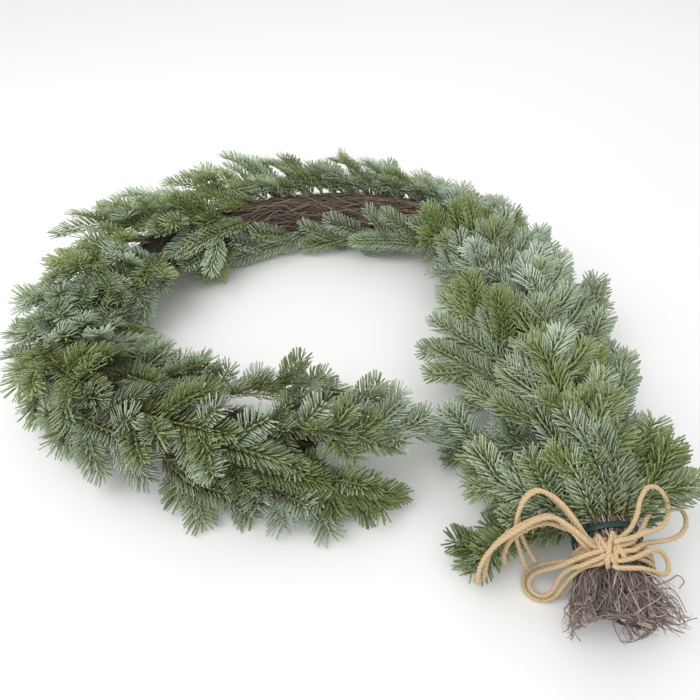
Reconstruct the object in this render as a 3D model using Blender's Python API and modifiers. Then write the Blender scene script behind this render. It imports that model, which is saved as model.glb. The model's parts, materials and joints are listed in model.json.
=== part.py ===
"""Noble fir garland, lying as an open hook on a flat surface.

A rope of fine vine twigs carries sprays of noble fir, laid like thatch from the bow towards the free end.
At the bow a green band and three turns of jute twine hold the bundle, which ends in a short broom.
Metres, +Z up. The garland lies on z = 0, and the origin is under the middle of its box.
"""

import math
import random

import bmesh
import bpy
import numpy as np
from mathutils import Matrix

MM = 0.001
UP = np.array([0.0, 0.0, 1.0])

# The garland lies so that the middle of its box, its free cords left out, is over the origin
FRAME_SHIFT = np.array([13.25, -0.95, 0.0]) * MM

# Middle line of the vine core, from the trimmed broom end to the free end, in millimetres
CORE_ROUTE = [
    (320, -431, 39), (332, -384, 48), (332, -310, 55), (323, -188, 58), (323, -11, 58), (289, 206, 58),
    (177, 300, 58), (-20, 333, 58), (-210, 265, 58), (-335, 160, 58), (-384, 37, 58), (-377, -76, 58),
    (-288, -171, 57), (-185, -208, 56), (-51, -221, 54), (22, -237, 49),
]
CORE_STATIONS = (0, 27, 37, 84, 120, 150, 1880, 1950, 2040)
CORE_RADII = (41, 39.5, 36, 36, 37.2, 38, 38, 32, 13)
CORE_LOBES = 8
LOBE_HEIGHT = 0.08
LOBE_TURN = 900 * MM
ROUND_STATIONS = (27, 37, 84, 120)
BOW_RINGS = (0, 16, 30, 37, 52, 68, 84, 100, 120)
RING_STEP = 50 * MM
CORE_STEP = 5 * MM

# The broom end is cut aslant, longer on top, and sags onto the surface
BROOM_SLANT = 13 * MM
BROOM_SAG = 4 * MM
BROOM_LENGTH = 30 * MM
TWIG_RADIUS = 1.3 * MM
TWIG_COUNT = 12
TWIG_SUNK = 9 * MM
TWIG_RISE = 12 * MM

BAND_STATION = 78 * MM
BAND_WIDTH = 7 * MM
BAND_THICK = 1.2 * MM
BAND_SIDES = 24
TOUCH_GAP = 0.35 * MM
TURNED_GAP = 1.05 * MM

TWINE_RADIUS = 2.75 * MM
TWINE_STEP = 16.5 * MM
WRAP_STATION = 51 * MM
WRAP_TURNS = 3
WRAP_PITCH = 6.1 * MM
WRAP_STEPS = 14
WRAP_ROOM = 0.65 * MM
KNOT_CLOCK = math.radians(-23)
KNOT_HALF = 12.5 * MM
KNOT_STRANDS = (-7.8, -2.6, 2.6, 7.8)
KNOT_REACHES = (0.96, 1.08, 1.08, 0.96)
KNOT_RISE = 10.5 * MM
KNOT_ROUND = 0.7
KNOT_HEART = (9.5 * MM, 11 * MM, 5.5 * MM)
KNOT_HEART_RISE = 3.5 * MM

STEM_RADIUS = 2.4 * MM
STEM_TIP_RADIUS = 1.7 * MM
STEM_SUNK = 8 * MM
STEM_RISE = 9 * MM
WHORL_HEIGHT = 3.2 * MM
NEEDLE_LENGTH = 28 * MM
NEEDLE_ROOT = 2.3 * MM
NEEDLE_END = 0.2 * MM
NEEDLE_GAP = 0.6 * MM
NEEDLE_OFF_CORE = 1.4 * MM
NEEDLE_LEAN = math.radians(62)
NEEDLE_LEAN_TIP = math.radians(40)
NEEDLE_LIFT = 0.2

# Swing to a side, nod forwards and share of the length that a needle tries in turn until it has room
NEEDLE_TRIES = ((0, 0, 1), (0.3, 0, 1), (-0.3, 0, 1), (0, -0.35, 0.95), (0, 0, 0.7), (0, -0.4, 0.6))

# How far stems stay off the floor, the core and each other, and how many draws each gets
STEM_FLOOR = 4.2 * MM
STEM_OFF_CORE = 5.5 * MM
SIDE_OFF_CORE = 7 * MM
MAIN_CLEAR = 24 * MM
STEM_CLEAR = 7 * MM
STEM_SPACING = 4 * MM
CLEARANCE_STEP = 7 * MM
MAIN_DRAWS = 14
SIDE_DRAWS = 9
ANY_REACH = 1.0

# Twine strands of the bow, in millimetres: each leaves one side of the knot
TWINE_ROUTES = {
    "twine_tail_1": [
        (304.5, -378.6, 86), (297, -374, 89), (289, -369, 97), (279, -359, 108), (265, -344, 117),
        (248, -333, 119), (234, -336, 113), (226, -345, 101), (223, -354, 88), (226, -364, 66),
        (240, -376, 32),
    ],
    "twine_tail_2": [
        (299.4, -373.7, 79.5), (289, -365, 89), (279, -353, 100), (265, -338, 109), (249, -327, 111),
        (237, -329, 105), (230, -337, 95), (228, -348, 80), (236, -359, 58), (252, -370, 32),
    ],
    "twine_tail_3": [
        (300.5, -383.5, 89.5), (295, -381.5, 93), (287, -377, 99), (277, -369, 103), (260, -358, 106.5),
        (241, -360, 106), (222, -367, 99), (204, -374, 88), (191, -380, 72), (184, -387, 52),
        (183, -395, 28),
    ],
    "twine_tail_4": [
        (302.5, -385, 82), (295, -382, 84), (287, -376, 89), (277, -365, 94.5), (259, -352, 99.5),
        (241, -354.5, 98.5), (222, -361, 92), (206, -368, 81), (196, -374, 66), (192, -383, 47),
        (191, -391, 26),
    ],
    "twine_tail_5": [
        (302.2, -367.1, 76.1), (297, -361.6, 77.4), (288, -360.6, 80.6), (275, -358.6, 84.8), (259, -354.8, 88),
        (242, -357.5, 88), (230, -362, 85), (219.5, -366, 78), (214.5, -369, 65), (214.5, -370.5, 47),
        (217.5, -372.5, 29),
    ],
    "twine_loop_1": [
        (302.5, -390.5, 85.5), (295, -389.5, 80), (285.2, -386.3, 66), (276.5, -379.5, 48), (266.9, -373.2, 30),
        (257.6, -370.1, 15.5), (248.1, -374, 7), (242.5, -383.7, 3.8), (242.9, -394.9, 3.2), (251.5, -403, 3.2),
        (264, -404.8, 4.2), (274.4, -402.2, 12), (280.4, -397.7, 27), (285.1, -394.8, 47), (292.1, -394.3, 67),
        (303, -397.5, 83.5),
    ],
    "twine_loop_2": [
        (300.5, -389, 92), (291, -389.5, 87), (279, -389.2, 72), (271.5, -386.5, 53), (265, -382, 35),
        (258, -379.6, 21.5), (250.6, -382.3, 13.8), (247, -389.3, 10.6), (249, -396.8, 9.6), (255.5, -401.6, 9.5),
        (263.2, -402, 10.6), (269.6, -398.6, 15.5), (273.4, -394.6, 25), (275.5, -392, 39), (279.3, -392, 57),
        (285.5, -396.2, 75), (301, -395, 90.5),
    ],
    "twine_loop_3": [
        (326, -375.5, 94.5), (333, -371.5, 95.5), (341, -365.5, 99), (349, -354, 106), (355, -340, 114),
        (365, -329, 119), (377, -328, 117), (386, -336, 109), (388, -348, 99), (381, -359, 94),
        (367, -367, 97), (350, -374, 103), (335, -379.5, 104.5), (322, -382, 103.5),
    ],
    "twine_loop_4": [
        (323, -385, 97.5), (333, -382.5, 98), (342, -376.8, 97), (355.4, -363.8, 94), (368.8, -347.8, 90),
        (386.5, -333.7, 86), (405.5, -326.8, 82), (417.9, -333.2, 78), (418.6, -346.4, 75), (407, -360.1, 75),
        (388.4, -368.9, 78), (369.6, -374, 84), (350.6, -381, 92), (337, -388.9, 97), (323.5, -391, 97.5),
    ],
    "twine_loop_5": [
        (316.8, -398.5, 92), (329, -398, 94.5), (341, -394.6, 95), (352, -389.5, 94), (362, -386, 90.5),
        (371, -386, 85), (377, -390.8, 79.3), (378, -398.2, 75), (372.8, -404.6, 74.4), (363, -406.6, 79),
        (352, -406.4, 86), (339, -406, 91), (317.5, -405.8, 91.3),
    ],
}

# Stray curly twigs at the broom end, in millimetres
STRAY_TWIGS = [
    [(352, -402, 40), (374, -404, 44), (392, -398, 42), (407, -390, 36), (415, -394, 30), (408, -401, 27)],
    [(350, -412, 34), (372, -418, 34), (386, -412, 30), (397, -414, 26), (401, -424, 22), (398, -434, 20)],
    [(346, -420, 24), (362, -428, 20), (376, -428, 16), (386, -434, 13), (390, -442, 12)],
    [(304, -420, 34), (291, -426, 28), (284, -433, 21), (287, -440, 15)],
]

# Sprays of the bow and of the free end: station and clock angle of the foot, then the tip in millimetres
PLACED_SPRAYS = [
    (93, 32, (420, -290, 76)), (92, -8, (322, -200, 125)), (95, -48, (198, -257, 45)),
    (96, -84, (180, -358, 10)), (118, 78, (392, -236, 84)), (204, -82, (180, -187, 24)),
    (1985, -12, (164, -221, 52)), (1955, -62, (132, -194, 75)), (1992, 72, (104, -281, 24)),
    (1935, 100, (38, -292, 14)), (1948, 18, (94, -252, 88)), (1835, 96, (-62, -279, 12)),
    (1840, -52, (36, -168, 92)),
]
PLACED_LIFT = 30 * MM

# Rows of sprays: station, then each spray's clock angle from the top towards the outside and its tip's reach
ROWS = [
    (165, [(-4, 84), (74, 98)]),
    (305, [(-76, 116), (10, 80), (86, 116)]),
    (445, [(-88, 100), (-30, 80), (72, 84)]),
    (585, [(-60, 92), (24, 70), (92, 78)]),
    (725, [(-100, 84), (44, 78), (96, 78)]),
    (875, [(-126, 66), (44, 104)]),
    (1025, [(-134, 56), (34, 108), (92, 90)]),
    (1190, [(-34, 70), (28, 98), (72, 116)]),
    (1320, [(-74, 78), (-4, 78), (78, 78)]),
    (1450, [(-88, 92), (26, 70), (104, 68)]),
    (1585, [(-56, 100), (12, 76), (92, 62)]),
    (1715, [(-54, 90), (60, 68)]),
    (1775, [(4, 84)]),
]
ROW_LENGTH = 178
SIDE_REACH = 8 * MM
PLACED_SIDES = 0.7
BLUE_SHARE = 0.42

# Whorls as shares of a shoot's length, and the side shoots that leave the main stem at its first whorls
MAIN_WHORLS = (0.20, 0.40, 0.60, 0.76, 0.90)
FORKS = ((1, 92, (0.42, 0.80)), (-1, 86, (0.42, 0.80)), (1, 70, (0.58,)))
FORK_TURN = 48

COLOURS = {
    "fir_green": (0.085, 0.145, 0.055),
    "fir_blue": (0.175, 0.265, 0.215),
    "vine_twigs": (0.085, 0.050, 0.034),
    "green_band": (0.010, 0.045, 0.032),
    "jute_twine": (0.560, 0.360, 0.150),
}


def unit(vector):
    return vector / np.linalg.norm(vector)


def smooth_route(points, spacing):
    """Points at even steps along the smooth curve through the given ones."""
    points = np.array(points, float)
    ends = 2 * points[[0, -1]] - points[[1, -2]]
    knots = np.vstack([ends[:1], points, ends[1:]])
    steps = np.linspace(0, 1, 24, endpoint=False)[:, None]
    dense = []
    for a, b, c, d in zip(knots, knots[1:], knots[2:], knots[3:]):
        square = (2 * a - 5 * b + 4 * c - d) * steps**2
        cube = (3 * b - a - 3 * c + d) * steps**3
        dense.append((2 * b + (c - a) * steps + square + cube) / 2)
    dense = np.vstack(dense + [points[-1:]])
    lengths = np.concatenate([[0], np.cumsum(np.linalg.norm(np.diff(dense, axis=0), axis=1))])
    at = np.linspace(0, lengths[-1], max(2, round(lengths[-1] / spacing) + 1))
    return np.column_stack([np.interp(at, lengths, dense[:, axis]) for axis in range(3)])


def in_frame(points):
    """Hand-set points in millimetres, as places in the part's frame."""
    return np.array(points, float) * MM + FRAME_SHIFT


CORE_LINE = smooth_route(in_frame(CORE_ROUTE), CORE_STEP)
CORE_LENGTHS = np.concatenate([[0], np.cumsum(np.linalg.norm(np.diff(CORE_LINE, axis=0), axis=1))])
CORE_ALONG = np.gradient(CORE_LINE, axis=0)
CORE_ALONG[:, 2] = 0
CORE_ALONG /= np.linalg.norm(CORE_ALONG, axis=1)[:, None]


def core_radius(station):
    return np.interp(station, np.array(CORE_STATIONS) * MM, np.array(CORE_RADII) * MM)


def keep_out_radius(station):
    """How far from the core's middle a stem or needle stays: outside its lobes and, at the bow, the twine."""
    at_bow = np.interp(station, np.array((0, 22, 34, 86, 98)) * MM, np.array((0, 0, 9, 9, 0)) * MM)
    return core_radius(station) * (1 + LOBE_HEIGHT) + at_bow


KEEP_OUT = keep_out_radius(CORE_LENGTHS)


def core_at(station):
    """Middle, direction and outward side of the core at a distance along it."""
    middle = np.array([np.interp(station, CORE_LENGTHS, CORE_LINE[:, axis]) for axis in range(3)])
    along = unit(np.array([np.interp(station, CORE_LENGTHS, CORE_ALONG[:, axis]) for axis in range(3)]))
    return middle, along, np.cross(along, UP)


def on_core(station, clock, height):
    """Point at a height over the core's surface, with the directions along, around and away from it."""
    middle, along, out = core_at(station)
    away = math.cos(clock) * UP + math.sin(clock) * out
    around = math.cos(clock) * out - math.sin(clock) * UP
    return middle + away * (core_radius(station) + height), along, around, away


def placed(x_axis, y_axis, z_axis, origin):
    """The matrix of an object whose own axes and origin are the given vectors."""
    rows = np.eye(4)
    rows[:3] = np.column_stack([x_axis, y_axis, z_axis, origin])
    return Matrix(rows.tolist())


def material(name):
    found = bpy.data.materials.get(name)
    if found:
        return found
    made = bpy.data.materials.new(name)
    made.use_nodes = True
    shader = made.node_tree.nodes["Principled BSDF"]
    shader.inputs["Base Color"].default_value = (*COLOURS[name], 1)
    shader.inputs["Roughness"].default_value = 0.7
    return made


def mesh_object(name, points, faces, finish, collection):
    mesh = bpy.data.meshes.new(name)
    mesh.from_pydata([tuple(point) for point in points], [], faces)
    mesh.validate()
    made = bpy.data.objects.new(name, mesh)
    made.data.materials.append(material(finish))
    collection.objects.link(made)
    return made


def tube(name, line, radius, resolution, finish, collection):
    """A round tube on a fine line, as a curve object with filled caps."""
    curve = bpy.data.curves.new(name, "CURVE")
    curve.dimensions = "3D"
    curve.bevel_depth = radius
    curve.bevel_resolution = resolution
    curve.use_fill_caps = True
    spline = curve.splines.new("POLY")
    spline.points.add(len(line) - 1)
    for point, place in zip(spline.points, line):
        point.co = (*place, 1)
    made = bpy.data.objects.new(name, curve)
    made.data.materials.append(material(finish))
    collection.objects.link(made)
    return made


def as_mesh(curve_object):
    """The curve object's own mesh, with its caps welded."""
    evaluated = curve_object.evaluated_get(bpy.context.evaluated_depsgraph_get())
    mesh = bpy.data.meshes.new_from_object(evaluated)
    shell = bmesh.new()
    shell.from_mesh(mesh)
    bmesh.ops.remove_doubles(shell, verts=shell.verts, dist=0.00001)
    bmesh.ops.recalc_face_normals(shell, faces=shell.faces)
    shell.to_mesh(mesh)
    shell.free()
    name = curve_object.name
    place = curve_object.matrix_world.copy()
    home = curve_object.users_collection[0]
    bpy.data.objects.remove(curve_object)
    made = bpy.data.objects.new(name, mesh)
    made.matrix_world = place
    home.objects.link(made)
    return made


def boolean(target, operation, pieces):
    """Joins or cuts target with every object of a collection, and applies it."""
    step = target.modifiers.new(operation.lower(), "BOOLEAN")
    step.operation = operation
    step.operand_type = "COLLECTION"
    step.collection = pieces
    step.solver = "EXACT"
    bpy.context.view_layer.update()
    evaluated = target.evaluated_get(bpy.context.evaluated_depsgraph_get())
    mesh = bpy.data.meshes.new_from_object(evaluated)
    target.modifiers.clear()
    target.data = mesh


def fuse(target, pieces):
    boolean(target, "UNION", pieces)
    for piece in list(pieces.objects):
        bpy.data.objects.remove(piece)


def largest_body(target):
    """Drops loose scraps that a cut leaves."""
    shell = bmesh.new()
    shell.from_mesh(target.data)
    unseen = set(shell.faces)
    islands = []
    while unseen:
        front = [unseen.pop()]
        island = list(front)
        while front:
            for edge in front.pop().edges:
                for face in edge.link_faces:
                    if face in unseen:
                        unseen.remove(face)
                        front.append(face)
                        island.append(face)
        islands.append(island)
    islands.sort(key=len)
    for island in islands[:-1]:
        bmesh.ops.delete(shell, geom=island, context="FACES")
    shell.to_mesh(target.data)
    shell.free()


def core_shell(swell):
    """Lofted rings of the twisted twig bundle: points and faces."""
    start = BOW_RINGS[-1] * MM
    end = CORE_LENGTHS[-1]
    stations = [station * MM for station in BOW_RINGS[:-1]]
    stations += list(np.linspace(start, end, round((end - start) / RING_STEP) + 1))
    sides = 2 * CORE_LOBES
    points = []
    for station in stations:
        middle, along, out = core_at(station)
        squeeze = np.interp(station, np.array(ROUND_STATIONS) * MM, (0.4, 0, 0, 1))
        broom = max(1 - station / BROOM_LENGTH, 0)
        for side in range(sides):
            angle = 2 * math.pi * (side / sides + station / LOBE_TURN)
            lobe = LOBE_HEIGHT * squeeze * (1 if side % 2 else -1)
            radius = core_radius(station) * (1 + lobe) + swell
            point = middle + radius * (math.cos(angle) * UP + math.sin(angle) * out)
            point[2] = max(point[2] - BROOM_SAG * min(2 * broom, 1), 0)
            point -= along * BROOM_SLANT * broom * (point[2] - middle[2]) / core_radius(station)
            points.append(point)
    faces = []
    last = len(points) - sides
    for low in range(0, last, sides):
        for side in range(sides):
            following = (side + 1) % sides
            faces.append((low + side, low + following, low + sides + following))
            faces.append((low + side, low + sides + following, low + sides + side))
    start_middle = len(points)
    points += [sum(points[:sides]) / sides, sum(points[last:]) / sides]
    for side in range(sides):
        following = (side + 1) % sides
        faces.append((following, side, start_middle))
        faces.append((last + side, last + following, start_middle + 1))
    return points, faces


def loose_twigs(collection):
    """Thin curly twigs that stand out of the broom end, and the strays beside them."""
    draw = random.Random(11)
    lines = []
    for number in range(TWIG_COUNT):
        clock = 2 * math.pi * (number + draw.uniform(-0.2, 0.2)) / TWIG_COUNT
        start = draw.uniform(22, 34) * MM
        curl = draw.uniform(-9, 9) * MM
        spread = draw.uniform(1, 9) * MM
        reach = draw.uniform(2, 9) * MM
        slant = BROOM_SLANT * math.cos(clock)
        line = []
        for step in range(5):
            t = step / 4
            height = -TWIG_SUNK + (TWIG_RISE + spread) * t
            point, along, around, away = on_core(start * (1 - t), clock, height)
            line.append(point - along * (reach * t * t + slant * t) + around * curl * math.sin(math.pi * t))
        lines.append(smooth_route(line, 10 * MM))
    lines += [smooth_route(in_frame(route), 11 * MM) for route in STRAY_TWIGS]
    for number, line in enumerate(lines):
        line[:, 2] = np.maximum(line[:, 2], TWIG_RADIUS)
        as_mesh(tube(f"twig_{number}", line, TWIG_RADIUS, 0, "vine_twigs", collection))


def make_core(parts, pieces):
    points, faces = core_shell(0)
    core = mesh_object("vine_core", points, faces, "vine_twigs", parts)
    loose_twigs(pieces)
    fuse(core, pieces)
    largest_body(core)


def make_band(parts):
    """A flat band turned round the bundle."""
    middle, along, out = core_at(BAND_STATION)
    inner = core_radius(BAND_STATION) + TURNED_GAP
    outer = inner + BAND_THICK
    edge = BAND_WIDTH / 2
    mesh = bpy.data.meshes.new("green_band")
    profile = [(outer, 0, edge), (outer, 0, -edge), (inner, 0, -edge), (inner, 0, edge)]
    mesh.from_pydata(profile, [(0, 1), (1, 2), (2, 3), (3, 0)], [])
    band = bpy.data.objects.new("green_band", mesh)
    band.data.materials.append(material("green_band"))
    parts.objects.link(band)
    turn = band.modifiers.new("turn", "SCREW")
    turn.steps = turn.render_steps = BAND_SIDES
    turn.use_merge_vertices = True
    turn.merge_threshold = 0.00001
    band.matrix_world = placed(out, np.cross(along, out), along, middle)


def make_wrap(parts, pieces):
    """Three turns of twine round the bundle, with a knot of four strands across them."""
    middle, along, out = core_at(WRAP_STATION)
    over = TURNED_GAP + TWINE_RADIUS + WRAP_ROOM
    hug = core_radius(WRAP_STATION) + over
    line = []
    steps = WRAP_STEPS * WRAP_TURNS
    for step in range(steps + 1):
        angle = KNOT_CLOCK + 2 * math.pi * WRAP_TURNS * step / steps
        travel = (step / steps - 0.5) * WRAP_TURNS * WRAP_PITCH
        line.append(on_core(WRAP_STATION + travel, angle, over)[0])
    wrap = as_mesh(tube("twine_wrap", line, TWINE_RADIUS, 1, "jute_twine", parts))
    away = math.cos(KNOT_CLOCK) * UP + math.sin(KNOT_CLOCK) * out
    around = math.cos(KNOT_CLOCK) * out - math.sin(KNOT_CLOCK) * UP
    for strand, side in enumerate(KNOT_STRANDS):
        strand_line = []
        for step in range(5):
            angle = math.pi * step / 4
            travel = -KNOT_HALF * math.cos(angle) * KNOT_REACHES[strand]
            height = hug + TOUCH_GAP + KNOT_RISE * math.sin(angle) ** KNOT_ROUND
            strand_line.append(middle + along * travel + around * side * MM + away * height)
        as_mesh(tube(f"knot_{strand}", strand_line, TWINE_RADIUS * 1.04, 1, "jute_twine", pieces))
    heart = bmesh.new()
    bmesh.ops.create_uvsphere(heart, u_segments=8, v_segments=6, radius=1)
    mesh = bpy.data.meshes.new("knot_heart")
    heart.to_mesh(mesh)
    heart.free()
    lump = bpy.data.objects.new("knot_heart", mesh)
    wide, long, high = KNOT_HEART
    inside = middle + away * (hug + KNOT_HEART_RISE)
    lump.matrix_world = placed(around * wide, along * long, away * high, inside)
    pieces.objects.link(lump)
    fuse(wrap, pieces)
    largest_body(wrap)
    wrap.data.materials.clear()
    wrap.data.materials.append(material("jute_twine"))


def kept_clear(point, gap, reach):
    """The point moved off the core, inside the garland's reach and above the floor."""
    nearest = int(np.argmin(np.linalg.norm(CORE_LINE - point, axis=1)))
    offset = point - CORE_LINE[nearest]
    distance = np.linalg.norm(offset)
    least = KEEP_OUT[nearest] + gap
    offset *= min(max(distance, least), max(reach, least)) / distance
    point = CORE_LINE[nearest] + offset
    point[2] = max(point[2], STEM_FLOOR)
    return point


def even_line(line, spacing):
    """Points at even steps along straight stretches."""
    lengths = np.concatenate([[0], np.cumsum(np.linalg.norm(np.diff(line, axis=0), axis=1))])
    at = np.linspace(0, lengths[-1], max(2, round(lengths[-1] / spacing) + 1))
    return np.column_stack([np.interp(at, lengths, line[:, axis]) for axis in range(3)])


def clearance(line, taken):
    """Least distance from a stem to the points that are taken."""
    return np.linalg.norm(even_line(line, CLEARANCE_STEP)[:, None] - taken[None], axis=2).min()


def row_stem(station, clock, turn, length, reach):
    """Points of a stem that follows the core, rising from inside it to its reach."""
    start = core_radius(station)
    points = [on_core(station, clock, -STEM_SUNK)[0]]
    for share in (*MAIN_WHORLS, 1):
        place = station + length * share * math.cos(turn)
        around = clock + length * share * math.sin(turn) / reach
        height = STEM_RISE + (reach - start - STEM_RISE) * share**1.2
        point = on_core(place, around, start + height - core_radius(place))[0]
        points.append(kept_clear(point, STEM_OFF_CORE, ANY_REACH))
    return np.array(points)


def placed_stem(station, clock, tip):
    """Points of a stem that leaves the core and bends over to a given tip."""
    root, along, around, away = on_core(station, clock, -STEM_SUNK)
    points = [root]
    for share in (*MAIN_WHORLS, 1):
        lift = PLACED_LIFT * 4 * (share - share**2) ** 1.2
        point = root + (tip - root) * share + away * lift
        points.append(kept_clear(point, STEM_OFF_CORE, ANY_REACH))
    return np.array(points)


def side_stem(main, fork, side, length, whorls, turn, lift, reach):
    """Points of a side shoot that leaves a whorl of the main stem to one side: whorls and tip."""
    heading = unit(main[fork + 1] - main[fork - 1])
    nearest = int(np.argmin(np.linalg.norm(CORE_LINE - main[fork], axis=1)))
    away = unit(main[fork] - CORE_LINE[nearest])
    across = unit(np.cross(heading, away)) * side
    points = [main[fork]]
    before = 0.0
    for share in (*whorls, 1):
        angle = turn * (1 - 0.2 * (before + share))
        direction = unit(math.cos(angle) * heading + math.sin(angle) * across + lift * away)
        point = points[-1] + direction * length * (share - before)
        points.append(kept_clear(point, SIDE_OFF_CORE, reach))
        before = share
    return np.array(points)


def lay_stems():
    """Stems of every spray, main stems first. Each takes the draw that stands clearest of those before it."""
    draw = random.Random(21)
    taken = np.vstack([smooth_route(in_frame(route), STEM_SPACING) for route in TWINE_ROUTES.values()])
    plans = [(station, clock, in_frame(tip), 0) for station, clock, tip in PLACED_SPRAYS]
    for station, places in ROWS:
        plans += [(station, clock, None, reach * MM) for clock, reach in places]
    sprays = []
    for station, clock, tip, reach in plans:
        length = ROW_LENGTH * MM * draw.uniform(0.92, 1.06)
        choices = []
        for number in range(MAIN_DRAWS):
            place = station * MM + draw.uniform(-1, 1) * (3 if reach == 0 else 18) * MM
            around = math.radians(clock) + draw.uniform(-0.2, 0.2)
            if reach == 0:
                line = placed_stem(place, around, tip)
            else:
                turn = draw.uniform(-0.2, 0.2)
                line = row_stem(place, around, turn, length, reach * draw.uniform(0.95, 1.04))
            choices.append((min(clearance(line[1:], taken), MAIN_CLEAR), -number, line))
        main = max(choices)[2]
        sprays.append([main])
        taken = np.vstack([taken, even_line(main, STEM_SPACING)])
    for stems, (station, clock, tip, reach) in zip(sprays, plans):
        limit = reach + SIDE_REACH if reach else ANY_REACH
        for fork, (side, side_length, whorls) in enumerate(FORKS, 1):
            choices = []
            for number in range(SIDE_DRAWS):
                shrink = (1 if reach else PLACED_SIDES) - 0.45 * number / SIDE_DRAWS
                length = side_length * MM * shrink
                turn = math.radians(FORK_TURN) + draw.uniform(-0.2, 0.25)
                lift = draw.uniform(-0.4, 0.2)
                line = side_stem(stems[0], fork, side, length, whorls, turn, lift, limit)
                room = min(clearance(even_line(line, STEM_SPACING)[5:], taken), STEM_CLEAR)
                choices.append((room, -number, line))
            stems.append(max(choices)[2] if max(choices)[0] > STEM_CLEAR * 0.85 else None)
        for line in stems[1:]:
            if line is not None:
                taken = np.vstack([taken, even_line(line, STEM_SPACING)[2:]])
    return sprays


class Obstacles:
    """Tapered rods that a needle has to stand clear of, each with its owner's number."""

    def __init__(self):
        self.rows = np.zeros((0, 9))
        self.waiting = []

    def add(self, start, end, wide, narrow, owner):
        self.waiting.append((*start, *end, wide, narrow, owner))

    def gap(self, start, end, wide, narrow, near_owners):
        """Least gap from a tapered rod to every other. The rods it springs from only meet its outer part."""
        if self.waiting:
            self.rows = np.vstack([self.rows, np.array(self.waiting)])
            self.waiting = []
        middle = (start + end) / 2
        others = (self.rows[:, :3] + self.rows[:, 3:6]) / 2
        spans = np.linalg.norm(self.rows[:, 3:6] - self.rows[:, :3], axis=1) / 2
        reach = np.linalg.norm(end - start) / 2 + spans + 8 * MM
        rows = self.rows[np.linalg.norm(others - middle, axis=1) < reach]
        if not len(rows):
            return 1.0
        ours = np.linspace(0, 1, 9)
        line = start + (end - start) * ours[:, None]
        thick = wide + (narrow - wide) * ours
        first = rows[:, None, :3]
        span = rows[:, None, 3:6] - first
        along = ((line[None] - first) * span).sum(axis=2) / np.maximum((span**2).sum(axis=2), 1e-12)
        along = np.clip(along, 0, 1)
        distance = np.linalg.norm(first + span * along[..., None] - line[None], axis=2)
        theirs = rows[:, None, 6] + (rows[:, None, 7] - rows[:, None, 6]) * along
        gaps = distance - theirs - thick[None]
        gaps[np.isin(rows[:, 8], near_owners)[:, None] & (ours < 0.4)[None]] = 1.0
        return gaps.min()


def clear_of_core(start, end):
    """Whether a needle stands outside the core, the band and the wrapped twine."""
    line = start + (end - start) * np.linspace(0.15, 1, 5)[:, None]
    distance = np.linalg.norm(line[:, None] - CORE_LINE[None], axis=2)
    nearest = distance.argmin(axis=1)
    return bool((distance.min(axis=1) > KEEP_OUT[nearest] + NEEDLE_OFF_CORE).all())


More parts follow.
